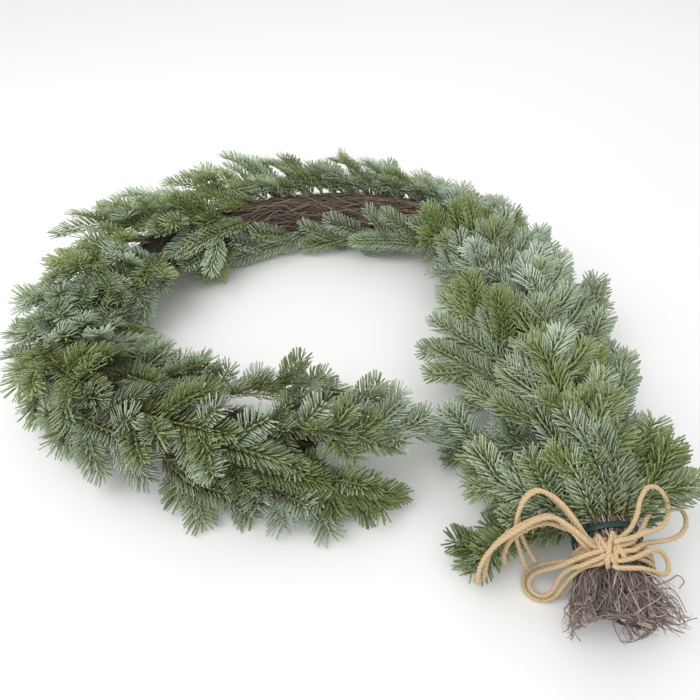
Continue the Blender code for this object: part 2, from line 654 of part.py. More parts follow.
class SpraySurface:
    """One spray's closed surface: three-sided stems, facets drawn out into needles and side shoots."""

    def __init__(self, obstacles, draw):
        self.points = []
        self.faces = []
        self.obstacles = obstacles
        self.draw = draw
        self.needles = 0

    def ring(self, place, direction, first, turn, radius):
        """Three new corners round a place, and the direction that the turn is measured from."""
        first = unit(first - direction * first.dot(direction))
        second = np.cross(direction, first)
        low = len(self.points)
        for corner in range(3):
            angle = turn + 2 * math.pi * corner / 3
            self.points.append(place + radius * (math.cos(angle) * first + math.sin(angle) * second))
        return [low, low + 1, low + 2], first, second

    def facets(self, low, high):
        """The six facets between two rings of three corners."""
        made = []
        for corner in range(3):
            following = (corner + 1) % 3
            made.append((low[corner], low[following], high[corner]))
            made.append((low[following], high[following], high[corner]))
        return made

    def stem(self, line, foot, first, turn, owner, sides):
        """A stem through a line's points, from a ring of corners. Returns the facets left for side shoots."""
        lengths = np.concatenate([[0], np.cumsum(np.linalg.norm(np.diff(line, axis=0), axis=1))])
        total = lengths[-1]
        left = {}
        for whorl in range(1, len(line) - 1):
            direction = unit(unit(line[whorl + 1] - line[whorl]) + unit(line[whorl] - line[whorl - 1]))
            radius = STEM_RADIUS + (STEM_TIP_RADIUS - STEM_RADIUS) * lengths[whorl] / total
            first = unit(first - direction * first.dot(direction))
            towards = sides.get(whorl)
            if towards is None:
                turn += self.draw.uniform(-0.6, 0.6)
            else:
                wanted = math.atan2(towards.dot(np.cross(direction, first)), towards.dot(first)) - math.pi / 3
                turn += (wanted - turn + math.pi / 3) % (2 * math.pi / 3) - math.pi / 3
            half = direction * WHORL_HEIGHT / 2
            low, first, second = self.ring(line[whorl] - half, direction, first, turn, radius)
            self.faces += self.facets(foot, low)
            high, first, second = self.ring(line[whorl] + half, direction, first, turn + math.pi / 3, radius)
            share = whorl / (len(line) - 1)
            owners = [owner * 10, owner * 10 + whorl]
            if towards is not None:
                owners.append((owner + whorl) * 10)
            facets = self.facets(low, high)
            if towards is not None:
                middles = [sum(self.points[corner] for corner in facet) / 3 for facet in facets]
                facing = [unit(middle - line[whorl]).dot(towards) for middle in middles]
                left[whorl] = facets.pop(int(np.argmax(facing)))
            for facet in facets:
                self.needle(facet, line[whorl], direction, share, owners)
            foot = high
            turn += math.pi / 3
        tip = len(self.points)
        self.points.append(line[-1])
        self.faces += [(foot[corner], foot[(corner + 1) % 3], tip) for corner in range(3)]
        return left

    def needle(self, facet, place, direction, share, owners):
        """Draws a facet out into a needle, bent clear of the others, or leaves it plain without room."""
        root = sum(self.points[corner] for corner in facet) / 3
        outward_from = root - place
        outward_from = unit(outward_from - direction * outward_from.dot(direction))
        across = np.cross(direction, outward_from)
        length = NEEDLE_LENGTH * self.draw.uniform(0.92, 1.08)
        lean = NEEDLE_LEAN + (NEEDLE_LEAN_TIP - NEEDLE_LEAN) * share
        for swing, nod, part in NEEDLE_TRIES:
            aim = outward_from * math.cos(swing) + across * math.sin(swing)
            sweep = unit(math.cos(lean + nod) * direction + math.sin(lean + nod) * aim + NEEDLE_LIFT * UP)
            tip = root + sweep * length * part
            tip[2] = max(tip[2], 0)
            if not clear_of_core(root, tip):
                continue
            if self.obstacles.gap(root, tip, NEEDLE_ROOT, NEEDLE_END, owners) < NEEDLE_GAP:
                continue
            self.obstacles.add(root, tip, NEEDLE_ROOT, NEEDLE_END, owners[1])
            self.needles += 1
            point = len(self.points)
            self.points.append(tip)
            self.faces += [(facet[corner], facet[(corner + 1) % 3], point) for corner in range(3)]
            return
        self.faces.append(facet)


def make_sprays(parts, cutters):
    draw = random.Random(33)
    sprays = lay_stems()
    obstacles = Obstacles()
    for route in TWINE_ROUTES.values():
        line = smooth_route(in_frame(route), 8 * MM)
        for start, end in zip(line, line[1:]):
            obstacles.add(start, end, TWINE_RADIUS + 0.4 * MM, TWINE_RADIUS + 0.4 * MM, -1)
    for spray, stems in enumerate(sprays):
        for index, line in enumerate(stems):
            if line is not None:
                for start, end in zip(line, line[1:]):
                    obstacles.add(start, end, STEM_RADIUS, STEM_RADIUS, (10 * spray + index) * 10)
    needles = 0
    for spray, stems in enumerate(sprays):
        surface = SpraySurface(obstacles, draw)
        main = stems[0]
        heading = unit(main[1] - main[0])
        sideways = np.cross(heading, core_at(0)[1] + UP)
        foot, first, second = surface.ring(main[0], heading, sideways, 0, STEM_RADIUS)
        surface.faces.append((foot[2], foot[1], foot[0]))
        sides = {}
        for whorl, line in enumerate(stems):
            if whorl and line is not None:
                sides[whorl] = unit(line[1] - line[0])
        left = surface.stem(main, foot, first, 0, 10 * spray, sides)
        for whorl, facet in left.items():
            line = stems[whorl]
            direction = unit(line[1] - line[0])
            corner = surface.points[facet[0]] - sum(surface.points[c] for c in facet) / 3
            surface.stem(line, list(facet), corner, 0, 10 * spray + whorl, {})
        needles += surface.needles
        finish = "fir_blue" if draw.random() < BLUE_SHARE else "fir_green"
        target = mesh_object(f"fir_spray_{spray + 1:02d}", surface.points, surface.faces, finish, parts)
        boolean(target, "DIFFERENCE", cutters)
        largest_body(target)
    shoots = sum(line is not None for stems in sprays for line in stems)
    print("sprays", len(sprays), "shoots", shoots, "needles", needles)


def build():
    for old in list(bpy.data.objects):
        bpy.data.objects.remove(old)
    parts = bpy.data.collections.new("noble_fir_garland")
    pieces = bpy.data.collections.new("pieces_to_join")
    cutters = bpy.data.collections.new("cutters")
    for collection in (parts, pieces, cutters):
        bpy.context.scene.collection.children.link(collection)
    make_core(parts, pieces)
    make_band(parts)
    make_wrap(parts, pieces)
    for name, route in TWINE_ROUTES.items():
        tube(name, smooth_route(in_frame(route), TWINE_STEP), TWINE_RADIUS, 2, "jute_twine", parts)
    points, faces = core_shell(TOUCH_GAP)
    cutter = mesh_object("core_envelope", points, faces, "vine_twigs", cutters)
    cutter.hide_render = True
    cutter.display_type = "WIRE"
    make_sprays(parts, cutters)


build()
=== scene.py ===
# %% [markdown]
# # A noble fir garland
# The garland is a thick rope of dried vine twigs, bent into an open hook, with sprays of noble fir tied to
# it like thatch, from the bow towards the free end. Jute twine and a dark green band hold the bundle at the
# bow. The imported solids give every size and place. This lesson dresses them: each spray gets its full coat
# of needles, the core its hundreds of twigs and the twine its three plies.

import json
import math
import random

import bpy
import numpy as np
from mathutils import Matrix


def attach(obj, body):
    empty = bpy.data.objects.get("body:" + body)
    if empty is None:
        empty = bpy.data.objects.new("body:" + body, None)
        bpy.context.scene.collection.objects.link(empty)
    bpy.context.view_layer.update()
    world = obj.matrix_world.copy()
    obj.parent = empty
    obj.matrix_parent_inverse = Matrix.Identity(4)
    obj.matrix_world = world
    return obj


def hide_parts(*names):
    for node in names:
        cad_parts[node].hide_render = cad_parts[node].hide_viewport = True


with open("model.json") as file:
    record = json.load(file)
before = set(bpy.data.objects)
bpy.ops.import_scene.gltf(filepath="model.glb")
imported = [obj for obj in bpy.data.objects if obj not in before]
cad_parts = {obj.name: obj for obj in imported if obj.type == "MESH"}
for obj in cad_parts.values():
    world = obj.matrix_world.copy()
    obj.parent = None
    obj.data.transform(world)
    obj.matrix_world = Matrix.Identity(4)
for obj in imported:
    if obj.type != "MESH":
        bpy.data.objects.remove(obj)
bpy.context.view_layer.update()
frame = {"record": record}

# %% [markdown]
# ## The camera
# The photograph looks down at the garland at 45 degrees, from in front of its open side. A lens of 28.8 mm
# on a 36 mm sensor gives the same perspective: the near bow looks large and the far bend small.

# %% Set the camera
LENS_MM = 28.8
SENSOR_MM = 36
CAMERA_PLACE = (0.05325, -0.65595, 0.658)
CAMERA_TILT = 45
camera_data = bpy.data.cameras.new("camera")
camera_data.lens = LENS_MM
camera_data.sensor_width = SENSOR_MM
camera_data.dof.use_dof = False
camera = bpy.data.objects.new("camera", camera_data)
camera.location = CAMERA_PLACE
camera.rotation_euler = (math.radians(CAMERA_TILT), 0, 0)
bpy.context.scene.collection.objects.link(camera)
bpy.context.scene.camera = camera
print("camera at", tuple(camera.location))

# %% [markdown]
# ## The route of the core
# Everything on the garland is placed by two numbers: the station, which is the distance along the core from
# the trimmed end, and the clock angle, from the top towards the outer side. The route itself is a smooth
# curve through sixteen given points, the same as in the solids.

# %% Route of the core and its radius
MM = 0.001
UP = np.array([0.0, 0.0, 1.0])
FRAME_SHIFT = np.array([13.25, -0.95, 0.0]) * MM
CORE_ROUTE = [
    (320, -431, 39), (332, -384, 48), (332, -310, 55), (323, -188, 58), (323, -11, 58), (289, 206, 58),
    (177, 300, 58), (-20, 333, 58), (-210, 265, 58), (-335, 160, 58), (-384, 37, 58), (-377, -76, 58),
    (-288, -171, 57), (-185, -208, 56), (-51, -221, 54), (22, -237, 49),
]
CORE_STATIONS = np.array((0, 27, 37, 84, 120, 150, 1880, 1950, 2040)) * MM
CORE_RADII = np.array((41, 39.5, 36, 36, 37.2, 38, 38, 32, 13)) * MM
LOBE_HEIGHT = 0.08
CURVE_STEPS = 24


def unit(vector):
    """The direction of one vector, with a length of one."""
    return vector / np.linalg.norm(vector)


def units(vectors):
    """The directions of many vectors at once."""
    return vectors / np.linalg.norm(vectors, axis=-1, keepdims=True)


def lengths_along(line):
    """Distance along a line at each of its points."""
    steps = np.linalg.norm(np.diff(line, axis=0), axis=1)
    return np.concatenate([[0], np.cumsum(steps)])


def at_lengths(line, lengths, wanted):
    """Points of a line at given distances along it."""
    return np.column_stack([np.interp(wanted, lengths, line[:, axis]) for axis in range(3)])


def smooth_route(points, spacing):
    """Points at even steps along the smooth curve through the given ones."""
    points = np.array(points, float)
    ends = 2 * points[[0, -1]] - points[[1, -2]]
    knots = np.vstack([ends[:1], points, ends[1:]])
    steps = np.linspace(0, 1, CURVE_STEPS, endpoint=False)[:, None]
    dense = []
    for a, b, c, d in zip(knots, knots[1:], knots[2:], knots[3:]):
        square = (2 * a - 5 * b + 4 * c - d) * steps**2
        cube = (3 * b - a - 3 * c + d) * steps**3
        dense.append((2 * b + (c - a) * steps + square + cube) / 2)
    dense = np.vstack(dense + [points[-1:]])
    lengths = lengths_along(dense)
    at = np.linspace(0, lengths[-1], max(2, round(lengths[-1] / spacing) + 1))
    return at_lengths(dense, lengths, at)


def in_frame(points):
    """Listed points in millimetres, as places in the part's frame."""
    return np.array(points, float) * MM + FRAME_SHIFT


CORE_LINE = smooth_route(in_frame(CORE_ROUTE), 5 * MM)
CORE_LENGTHS = lengths_along(CORE_LINE)
CORE_ALONG = np.gradient(CORE_LINE, axis=0)
CORE_ALONG[:, 2] = 0
CORE_ALONG = units(CORE_ALONG)


def core_radius(station):
    """Radius of the bundle at a distance along it."""
    return np.interp(station, CORE_STATIONS, CORE_RADII)


print("core length", round(CORE_LENGTHS[-1], 3))

# %% [markdown]
# ## Places on the bundle
# Two helpers turn a station and a clock angle into a place. One takes a single pair and also gives the
# directions there, the other takes whole lists at once, which is what makes thousands of twigs quick. At
# the trimmed end the bundle is cut aslant and sags onto the surface, so that is added there.

# %% Helpers for places on the core
BROOM_SLANT = 13 * MM
BROOM_SAG = 4 * MM
BROOM_LENGTH = 30 * MM
BROOM_LIMIT = 1.3


def core_at(station):
    """Middle, direction and outward side of the core at a distance along it."""
    middle = at_lengths(CORE_LINE, CORE_LENGTHS, station)[0]
    along = unit(at_lengths(CORE_ALONG, CORE_LENGTHS, station)[0])
    return middle, along, np.cross(along, UP)


def on_core(station, clock, height):
    """Point at a height over the core's surface, with the directions along, around and away from it."""
    middle, along, out = core_at(station)
    away = math.cos(clock) * UP + math.sin(clock) * out
    around = math.cos(clock) * out - math.sin(clock) * UP
    return middle + away * (core_radius(station) + height), along, around, away


def bundle_places(stations, clocks, heights):
    """Points at heights over the core's surface, for lists of stations and clock angles."""
    inside = np.clip(stations, 0, CORE_LENGTHS[-1])
    along = units(at_lengths(CORE_ALONG, CORE_LENGTHS, inside))
    middle = at_lengths(CORE_LINE, CORE_LENGTHS, inside) + along * (stations - inside)[:, None]
    out = np.cross(along, UP)
    radius = core_radius(inside)
    away = np.cos(clocks)[:, None] * UP + np.sin(clocks)[:, None] * out
    points = middle + away * (radius + heights)[:, None]
    broom = np.clip(1 - stations / BROOM_LENGTH, 0, BROOM_LIMIT)
    share = (radius + heights) / radius
    points -= along * (BROOM_SLANT * broom * np.cos(clocks) * share)[:, None]
    points[:, 2] -= BROOM_SAG * np.minimum(2 * broom, 1)
    return points


print("trimmed end at", bundle_places(*np.zeros((3, 1)))[0].round(3))

# %% [markdown]
# ## Turning lists of numbers into a mesh
# Blender can build a mesh straight from arrays, which is far quicker than adding faces one by one. One
# helper makes every piece of this garland. Colour differences that belong to one twig or one needle are
# stored with the points as a colour attribute called tone, which the materials read.

# %% Helper that makes a piece
made_pieces = []


def piece_from(name, points, triangles, tones, materials, marks=None, smooth=True):
    """A piece of the garland, from points, triangles, four tones a point and a material number a face."""
    points = np.maximum(points, (-np.inf, -np.inf, 0.0))
    mesh = bpy.data.meshes.new(name)
    mesh.vertices.add(len(points))
    mesh.vertices.foreach_set("co", np.asarray(points, np.float32).ravel())
    mesh.loops.add(3 * len(triangles))
    mesh.loops.foreach_set("vertex_index", np.asarray(triangles, np.int32).ravel())
    mesh.polygons.add(len(triangles))
    mesh.polygons.foreach_set("loop_start", np.arange(0, 3 * len(triangles), 3, dtype=np.int32))
    mesh.polygons.foreach_set("use_smooth", np.full(len(triangles), smooth))
    if marks is not None:
        mesh.polygons.foreach_set("material_index", np.asarray(marks, np.int32))
    mesh.update(calc_edges=True)
    layer = mesh.color_attributes.new("tone", "FLOAT_COLOR", "POINT")
    layer.data.foreach_set("color", np.asarray(tones, np.float32).ravel())
    for finish in materials:
        mesh.materials.append(finish)
    made = bpy.data.objects.new(name, mesh)
    bpy.context.scene.collection.objects.link(made)
    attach(made, "root")
    made_pieces.append((name, len(triangles)))
    return made


class Shell:
    """Collects the points, triangles and tones of many small pieces for one mesh."""

    def __init__(self):
        self.points, self.triangles, self.tones, self.marks = [], [], [], []
        self.count = 0

    def add(self, points, triangles, tones, mark=0):
        """Takes in one more small piece. Its tones may be one set for all its points."""
        self.points.append(points)
        self.triangles.append(np.asarray(triangles) + self.count)
        self.tones.append(np.broadcast_to(tones, (len(points), 4)))
        self.marks.append(np.full(len(triangles), mark))
        self.count += len(points)

    def finish(self, name, materials, smooth=True):
        """Makes one mesh object of all that was collected."""
        arrays = [np.concatenate(part) for part in (self.points, self.triangles, self.tones, self.marks)]
        return piece_from(name, arrays[0], arrays[1], arrays[2], materials, arrays[3], smooth)


# %% [markdown]
# ## Tubes
# Twigs, stems, plies and fibres are all tubes. The ring of points is carried along the line without
# twisting, by turning it only as much as the line turns, so a tube never pinches where its line bends.

# %% Helper that sweeps a ring along a line
def carried_frames(line):
    """Directions along a line, and two across it that don't twist."""
    along = units(np.gradient(line, axis=0))
    first = np.zeros_like(along)
    side = np.cross(along[0], UP if abs(along[0][2]) < 0.9 else np.array([1.0, 0, 0]))
    for step, direction in enumerate(along):
        side = unit(side - direction * side.dot(direction))
        first[step] = side
    return along, first, np.cross(along, first)


def tube_triangles(rings, sides):
    """Triangles of a tube of rings. One more point at each end closes it with a fan."""
    turn = np.arange(sides)
    after = (turn + 1) % sides
    ring = np.arange(rings - 1)[:, None] * sides
    low, nxt = ring + turn, ring + after
    bands = [np.stack([low, nxt, nxt + sides], -1), np.stack([low, nxt + sides, low + sides], -1)]
    last = (rings - 1) * sides
    start = np.column_stack([after, turn, np.full(sides, rings * sides)])
    end = np.column_stack([turn + last, after + last, np.full(sides, rings * sides + 1)])
    return np.vstack([band.reshape(-1, 3) for band in bands] + [start, end])


def swept(line, outline):
    """Points and triangles of a closed tube. outline holds each ring's radii and angles."""
    radii, angles = outline
    along, first, second = carried_frames(line)
    rings, sides = radii.shape
    across = np.cos(angles)[..., None] * first[:, None] + np.sin(angles)[..., None] * second[:, None]
    points = (line[:, None] + radii[..., None] * across).reshape(-1, 3)
    return np.vstack([points, line[:1], line[-1:]]), tube_triangles(rings, sides)


def round_tube(line, radii, sides):
    """A plain round tube whose radius may change along its line."""
    radii = np.broadcast_to(np.asarray(radii, float), (len(line),))
    angles = np.broadcast_to(np.arange(sides) * 2 * math.pi / sides, (len(line), sides))
    return swept(line, (np.repeat(radii[:, None], sides, axis=1), angles))


print("tube test", [len(part) for part in round_tube(CORE_LINE[:9], 0.01, 6)])

# %% [markdown]
# ## Node helpers
# Each finish is built from nodes, with no pictures. A few helpers keep the node code readable: they add a
# node with its settings, mix two colours, do one math step, read the tone attribute and add a fine relief.

# %% Helpers for shader nodes
def add_node(tree, kind, **settings):
    """A node with its settings: a socket's value where it has a socket of that name, a property otherwise."""
    node = tree.nodes.new(kind)
    for key, value in settings.items():
        if key in node.inputs:
            node.inputs[key].default_value = value
        else:
            setattr(node, key, value)
    return node


def new_finish(name):
    """An empty material, with its Principled shader and node tree."""
    finish = bpy.data.materials.new(name)
    finish.use_nodes = True
    return finish, finish.node_tree, finish.node_tree.nodes["Principled BSDF"]


def new_group(name, inputs, outputs):
    """A shader node group with named sockets: inputs give each socket's kind and usual value."""
    tree = bpy.data.node_groups.new(name, "ShaderNodeTree")
    for label, (kind, value) in inputs.items():
        socket = tree.interface.new_socket(name=label, in_out="INPUT", socket_type=kind)
        socket.default_value = value
    for label, kind in outputs.items():
        tree.interface.new_socket(name=label, in_out="OUTPUT", socket_type=kind)
    return tree, tree.nodes.new("NodeGroupInput"), tree.nodes.new("NodeGroupOutput")


def use_group(tree, group, **values):
    """A group placed in a material, with its own values. An underscore stands for a space."""
    node = tree.nodes.new("ShaderNodeGroup")
    node.node_tree = group
    for key, value in values.items():
        node.inputs[key.replace("_", " ")].default_value = value
    return node


def mixed(tree, share, low, high, blend="MIX"):
    """Mixes two colours. Each may be a socket or a plain colour."""
    node = tree.nodes.new("ShaderNodeMix")
    node.data_type = "RGBA"
    node.blend_type = blend
    for socket, value in ((node.inputs["Factor"], share), (node.inputs[6], low), (node.inputs[7], high)):
        if isinstance(value, bpy.types.NodeSocket):
            tree.links.new(value, socket)
        else:
            socket.default_value = value
    return node.outputs[2]


def computed(tree, operation, a, b=0.0, clamp=False):
    """One math step on sockets or numbers."""
    node = tree.nodes.new("ShaderNodeMath")
    node.operation = operation
    node.use_clamp = clamp
    for socket, value in zip(node.inputs, (a, b)):
        if isinstance(value, bpy.types.NodeSocket):
            tree.links.new(value, socket)
        else:
            socket.default_value = value
    return node.outputs[0]


def scaled(tree, value, factor, base):
    """A value times a factor, plus a base."""
    return computed(tree, "ADD", computed(tree, "MULTIPLY", value, factor), base)


def read_tone(tree):
    """The four values of the tone attribute, as sockets."""
    tone = add_node(tree, "ShaderNodeAttribute", attribute_name="tone")
    parts = tree.nodes.new("ShaderNodeSeparateColor")
    tree.links.new(tone.outputs["Color"], parts.inputs["Color"])
    return (*parts.outputs, tone.outputs["Alpha"])


def add_relief(tree, shader, height, strength, distance):
    """Fine relief: a height reaches the shader's normal through a Bump node."""
    bump = add_node(tree, "ShaderNodeBump", Strength=strength, Distance=distance)
    tree.links.new(height, bump.inputs["Height"])
    tree.links.new(bump.outputs["Normal"], shader.inputs["Normal"])


# %% [markdown]
# ## Mottle and fine grain
# No natural surface has one even colour. Two soft noises of different size, added together, give blotches
# that every finish here uses: bloom on needles, weather on bark and handling on twine. It is one group,
# placed in each material with its own size and strength.

# %% Group: mottle
mottle_group, group_in, group_out = new_group(
    "mottle",
    {"Blotch Scale": ("NodeSocketFloat", 60.0), "Grain Scale": ("NodeSocketFloat", 900.0),
     "Grain Share": ("NodeSocketFloat", 0.4)},
    {"Mask": "NodeSocketFloat", "Grain": "NodeSocketFloat"},
)
place = mottle_group.nodes.new("ShaderNodeTexCoord")
blotch = add_node(mottle_group, "ShaderNodeTexNoise", Detail=3.0, Roughness=0.6)
grain = add_node(mottle_group, "ShaderNodeTexNoise", Detail=2.0, Roughness=0.5)
mottle_group.links.new(place.outputs["Object"], blotch.inputs["Vector"])
mottle_group.links.new(place.outputs["Object"], grain.inputs["Vector"])
mottle_group.links.new(group_in.outputs["Blotch Scale"], blotch.inputs["Scale"])
mottle_group.links.new(group_in.outputs["Grain Scale"], grain.inputs["Scale"])
spread = mottle_group.nodes.new("ShaderNodeMapRange")
spread.inputs["From Min"].default_value = 0.32
spread.inputs["From Max"].default_value = 0.68
blend = mottle_group.nodes.new("ShaderNodeMix")
mottle_group.links.new(group_in.outputs["Grain Share"], blend.inputs["Factor"])
mottle_group.links.new(blotch.outputs["Fac"], blend.inputs["A"])
mottle_group.links.new(grain.outputs["Fac"], blend.inputs["B"])
mottle_group.links.new(blend.outputs["Result"], spread.inputs["Value"])
mottle_group.links.new(spread.outputs["Result"], group_out.inputs["Mask"])
mottle_group.links.new(grain.outputs["Fac"], group_out.inputs["Grain"])
print("group", mottle_group.name)

# %% [markdown]
# ## The colour of a needle
# A noble fir needle is green with a waxy bloom that makes it blue-grey, thickest on the underside. Near its
# root it is yellower. The tone attribute carries, for every point, how blue the shoot is, how light this
# needle is, how far along the needle the point is, and whether it is on the underside. How light a needle is
# varies at random, and it also holds painted shade towards the base of its shoot and painted light round the
# left side. The group turns these into a colour.

# %% Group: needle colour
needle_group, group_in, group_out = new_group(
    "needle_colour",
    {
        "Leaf": ("NodeSocketColor", (0.09, 0.15, 0.05, 1)),
        "Bloom": ("NodeSocketColor", (0.2, 0.3, 0.25, 1)),
        "Underside": ("NodeSocketColor", (0.36, 0.47, 0.4, 1)),
        "Young": ("NodeSocketColor", (0.3, 0.34, 0.1, 1)),
        "Mottle": ("NodeSocketFloat", 0.5),
    },
    {"Colour": "NodeSocketColor", "Wax": "NodeSocketFloat"},
)
blueness, lightness, along_needle, underside = read_tone(needle_group)
bloom = scaled(needle_group, group_in.outputs["Mottle"], 0.35, blueness)
bloom = scaled(needle_group, along_needle, 0.35, bloom)
bloom = computed(needle_group, "SUBTRACT", bloom, 0.38, clamp=True)
colour = mixed(needle_group, bloom, group_in.outputs["Leaf"], group_in.outputs["Bloom"])
waxed = computed(needle_group, "ADD", bloom, 0.35, clamp=True)
under = computed(needle_group, "MULTIPLY", underside, waxed)
colour = mixed(needle_group, under, colour, group_in.outputs["Underside"])
at_root = computed(needle_group, "SUBTRACT", 0.5, along_needle, clamp=True)
at_root = computed(needle_group, "MULTIPLY", at_root, 1.6, clamp=True)
colour = mixed(needle_group, at_root, colour, group_in.outputs["Young"])
light = needle_group.nodes.new("ShaderNodeMapRange")
light.inputs["To Min"].default_value = 0.5
light.inputs["To Max"].default_value = 1.5
needle_group.links.new(lightness, light.inputs["Value"])
shade = needle_group.nodes.new("ShaderNodeCombineColor")
for socket in shade.inputs:
    needle_group.links.new(light.outputs["Result"], socket)
colour = mixed(needle_group, 1.0, colour, shade.outputs["Color"], "MULTIPLY")
needle_group.links.new(colour, group_out.inputs["Colour"])
needle_group.links.new(bloom, group_out.inputs["Wax"])
print("group", needle_group.name)

# %% [markdown]
# ## Finishes of the foliage
# Two finishes share the groups: the green sprays and the bluer ones. The wax makes the surface rougher
# where it is thick. The woody stems of the sprays are a third finish, yellow-brown with darker scars.

# %% Materials: fir needles and their stems
def fir_finish(name, leaf, bloomed, underside, young):
    """The finish of one colour of needles."""
    finish, tree, shader = new_finish(name)
    spots = use_group(tree, mottle_group, Blotch_Scale=38.0, Grain_Scale=700.0, Grain_Share=0.35)
    tint = use_group(tree, needle_group, Leaf=leaf, Bloom=bloomed, Underside=underside, Young=young)
    tree.links.new(spots.outputs["Mask"], tint.inputs["Mottle"])
    tree.links.new(tint.outputs["Colour"], shader.inputs["Base Color"])
    tree.links.new(scaled(tree, tint.outputs["Wax"], 0.22, 0.42), shader.inputs["Roughness"])
    add_relief(tree, shader, spots.outputs["Grain"], 0.25, 0.0003)
    shader.inputs["Specular IOR Level"].default_value = 0.4
    return finish


green_needles = fir_finish(
    "fir_green", leaf=(0.260, 0.340, 0.095, 1), bloomed=(0.490, 0.585, 0.380, 1),
    underside=(0.60, 0.69, 0.56, 1), young=(0.36, 0.39, 0.070, 1),
)
blue_needles = fir_finish(
    "fir_blue", leaf=(0.270, 0.350, 0.145, 1), bloomed=(0.510, 0.610, 0.465, 1),
    underside=(0.62, 0.72, 0.61, 1), young=(0.34, 0.38, 0.09, 1),
)

fir_bark, tree, shader = new_finish("fir_bark")
spots = use_group(tree, mottle_group, Blotch_Scale=220.0, Grain_Scale=1500.0, Grain_Share=0.5)
bark_colour = mixed(tree, spots.outputs["Mask"], (0.27, 0.25, 0.075, 1), (0.42, 0.40, 0.14, 1))
tree.links.new(bark_colour, shader.inputs["Base Color"])
shader.inputs["Roughness"].default_value = 0.75
add_relief(tree, shader, spots.outputs["Grain"], 0.5, 0.0005)
print("finishes", green_needles.name, blue_needles.name, fir_bark.name)

# %% [markdown]
# ## Vine bark
# Dried vine twigs are purplish brown, with paler tan ones among them, and they fade to grey-brown where
# they stick out at the bow. The tone attribute says how pale and how faded each twig is, and how deep it
# lies: the deep ones get painted shade and are nearly black. Fine cracks along the bark come from a noise.

# %% Material: vine twigs
vine_bark, tree, shader = new_finish("vine_twigs")
paleness, fading, depth, _ = read_tone(tree)
spots = use_group(tree, mottle_group, Blotch_Scale=150.0, Grain_Scale=1900.0, Grain_Share=0.55)
bark = mixed(tree, paleness, (0.098, 0.069, 0.052, 1), (0.480, 0.345, 0.250, 1))
faded = mixed(tree, paleness, (0.140, 0.112, 0.100, 1), (0.640, 0.520, 0.455, 1))
bark = mixed(tree, fading, bark, faded)
worn = computed(tree, "MULTIPLY", spots.outputs["Mask"], 0.25)
bark = mixed(tree, worn, bark, (0.240, 0.185, 0.145, 1))
# Painted shade: the deeper a twig lies in the bundle, the nearer its colour comes to this near-black.
bark = mixed(tree, depth, bark, (0.030, 0.021, 0.016, 1))
tree.links.new(bark, shader.inputs["Base Color"])
tree.links.new(scaled(tree, spots.outputs["Mask"], 0.25, 0.52), shader.inputs["Roughness"])
add_relief(tree, shader, spots.outputs["Grain"], 0.6, 0.0006)
print("finish", vine_bark.name)

# %% [markdown]
# ## Jute
# Jute twine is three plies of hairy golden fibre laid round each other. The tone attribute holds the
# distance along the twine, the angle round it and the depth of the groove between plies, so that a noise
# stretched along the fibres can follow the twist. The grooves get painted shade, darker and browner.

# %% Material: jute twine
jute, tree, shader = new_finish("jute_twine")
along_twine, round_twine, groove, _ = read_tone(tree)
fibre_place = tree.nodes.new("ShaderNodeCombineXYZ")
tree.links.new(computed(tree, "MULTIPLY", along_twine, 220.0), fibre_place.inputs[0])
tree.links.new(computed(tree, "MULTIPLY", round_twine, 26.0), fibre_place.inputs[1])
fibres = add_node(tree, "ShaderNodeTexNoise", Scale=1.0, Detail=3.0, Roughness=0.65)
tree.links.new(fibre_place.outputs["Vector"], fibres.inputs["Vector"])
spots = use_group(tree, mottle_group, Blotch_Scale=120.0, Grain_Scale=1600.0, Grain_Share=0.3)
strand = tree.nodes.new("ShaderNodeMapRange")
strand.inputs["From Min"].default_value = 0.3
strand.inputs["From Max"].default_value = 0.7
tree.links.new(fibres.outputs["Fac"], strand.inputs["Value"])
twine_colour = mixed(tree, strand.outputs["Result"], (0.62, 0.430, 0.215, 1), (0.90, 0.710, 0.440, 1))
handled = computed(tree, "MULTIPLY", spots.outputs["Mask"], 0.3)
twine_colour = mixed(tree, handled, twine_colour, (0.70, 0.50, 0.28, 1))
# Painted shade in the grooves between the plies.
shaded = computed(tree, "MULTIPLY", groove, 0.6)
twine_colour = mixed(tree, shaded, twine_colour, (0.30, 0.185, 0.085, 1))
tree.links.new(twine_colour, shader.inputs["Base Color"])
shader.inputs["Roughness"].default_value = 0.85
shader.inputs["Sheen Weight"].default_value = 0.25
add_relief(tree, shader, fibres.outputs["Fac"], 0.7, 0.0006)
print("finish", jute.name)

# %% [markdown]
# ## The green band
# Next to the bow a flat band of dark green tape holds the bundle. It is smooth and a little shiny, with
# scuffs.

# %% Material: green band
band_tape, tree, shader = new_finish("green_band")
spots = use_group(tree, mottle_group, Blotch_Scale=260.0, Grain_Scale=1200.0, Grain_Share=0.4)
tape = mixed(tree, spots.outputs["Mask"], (0.006, 0.030, 0.022, 1), (0.016, 0.060, 0.045, 1))
tree.links.new(tape, shader.inputs["Base Color"])
tree.links.new(scaled(tree, spots.outputs["Mask"], 0.2, 0.3), shader.inputs["Roughness"])
add_relief(tree, shader, spots.outputs["Grain"], 0.2, 0.0003)
print("finish", band_tape.name)
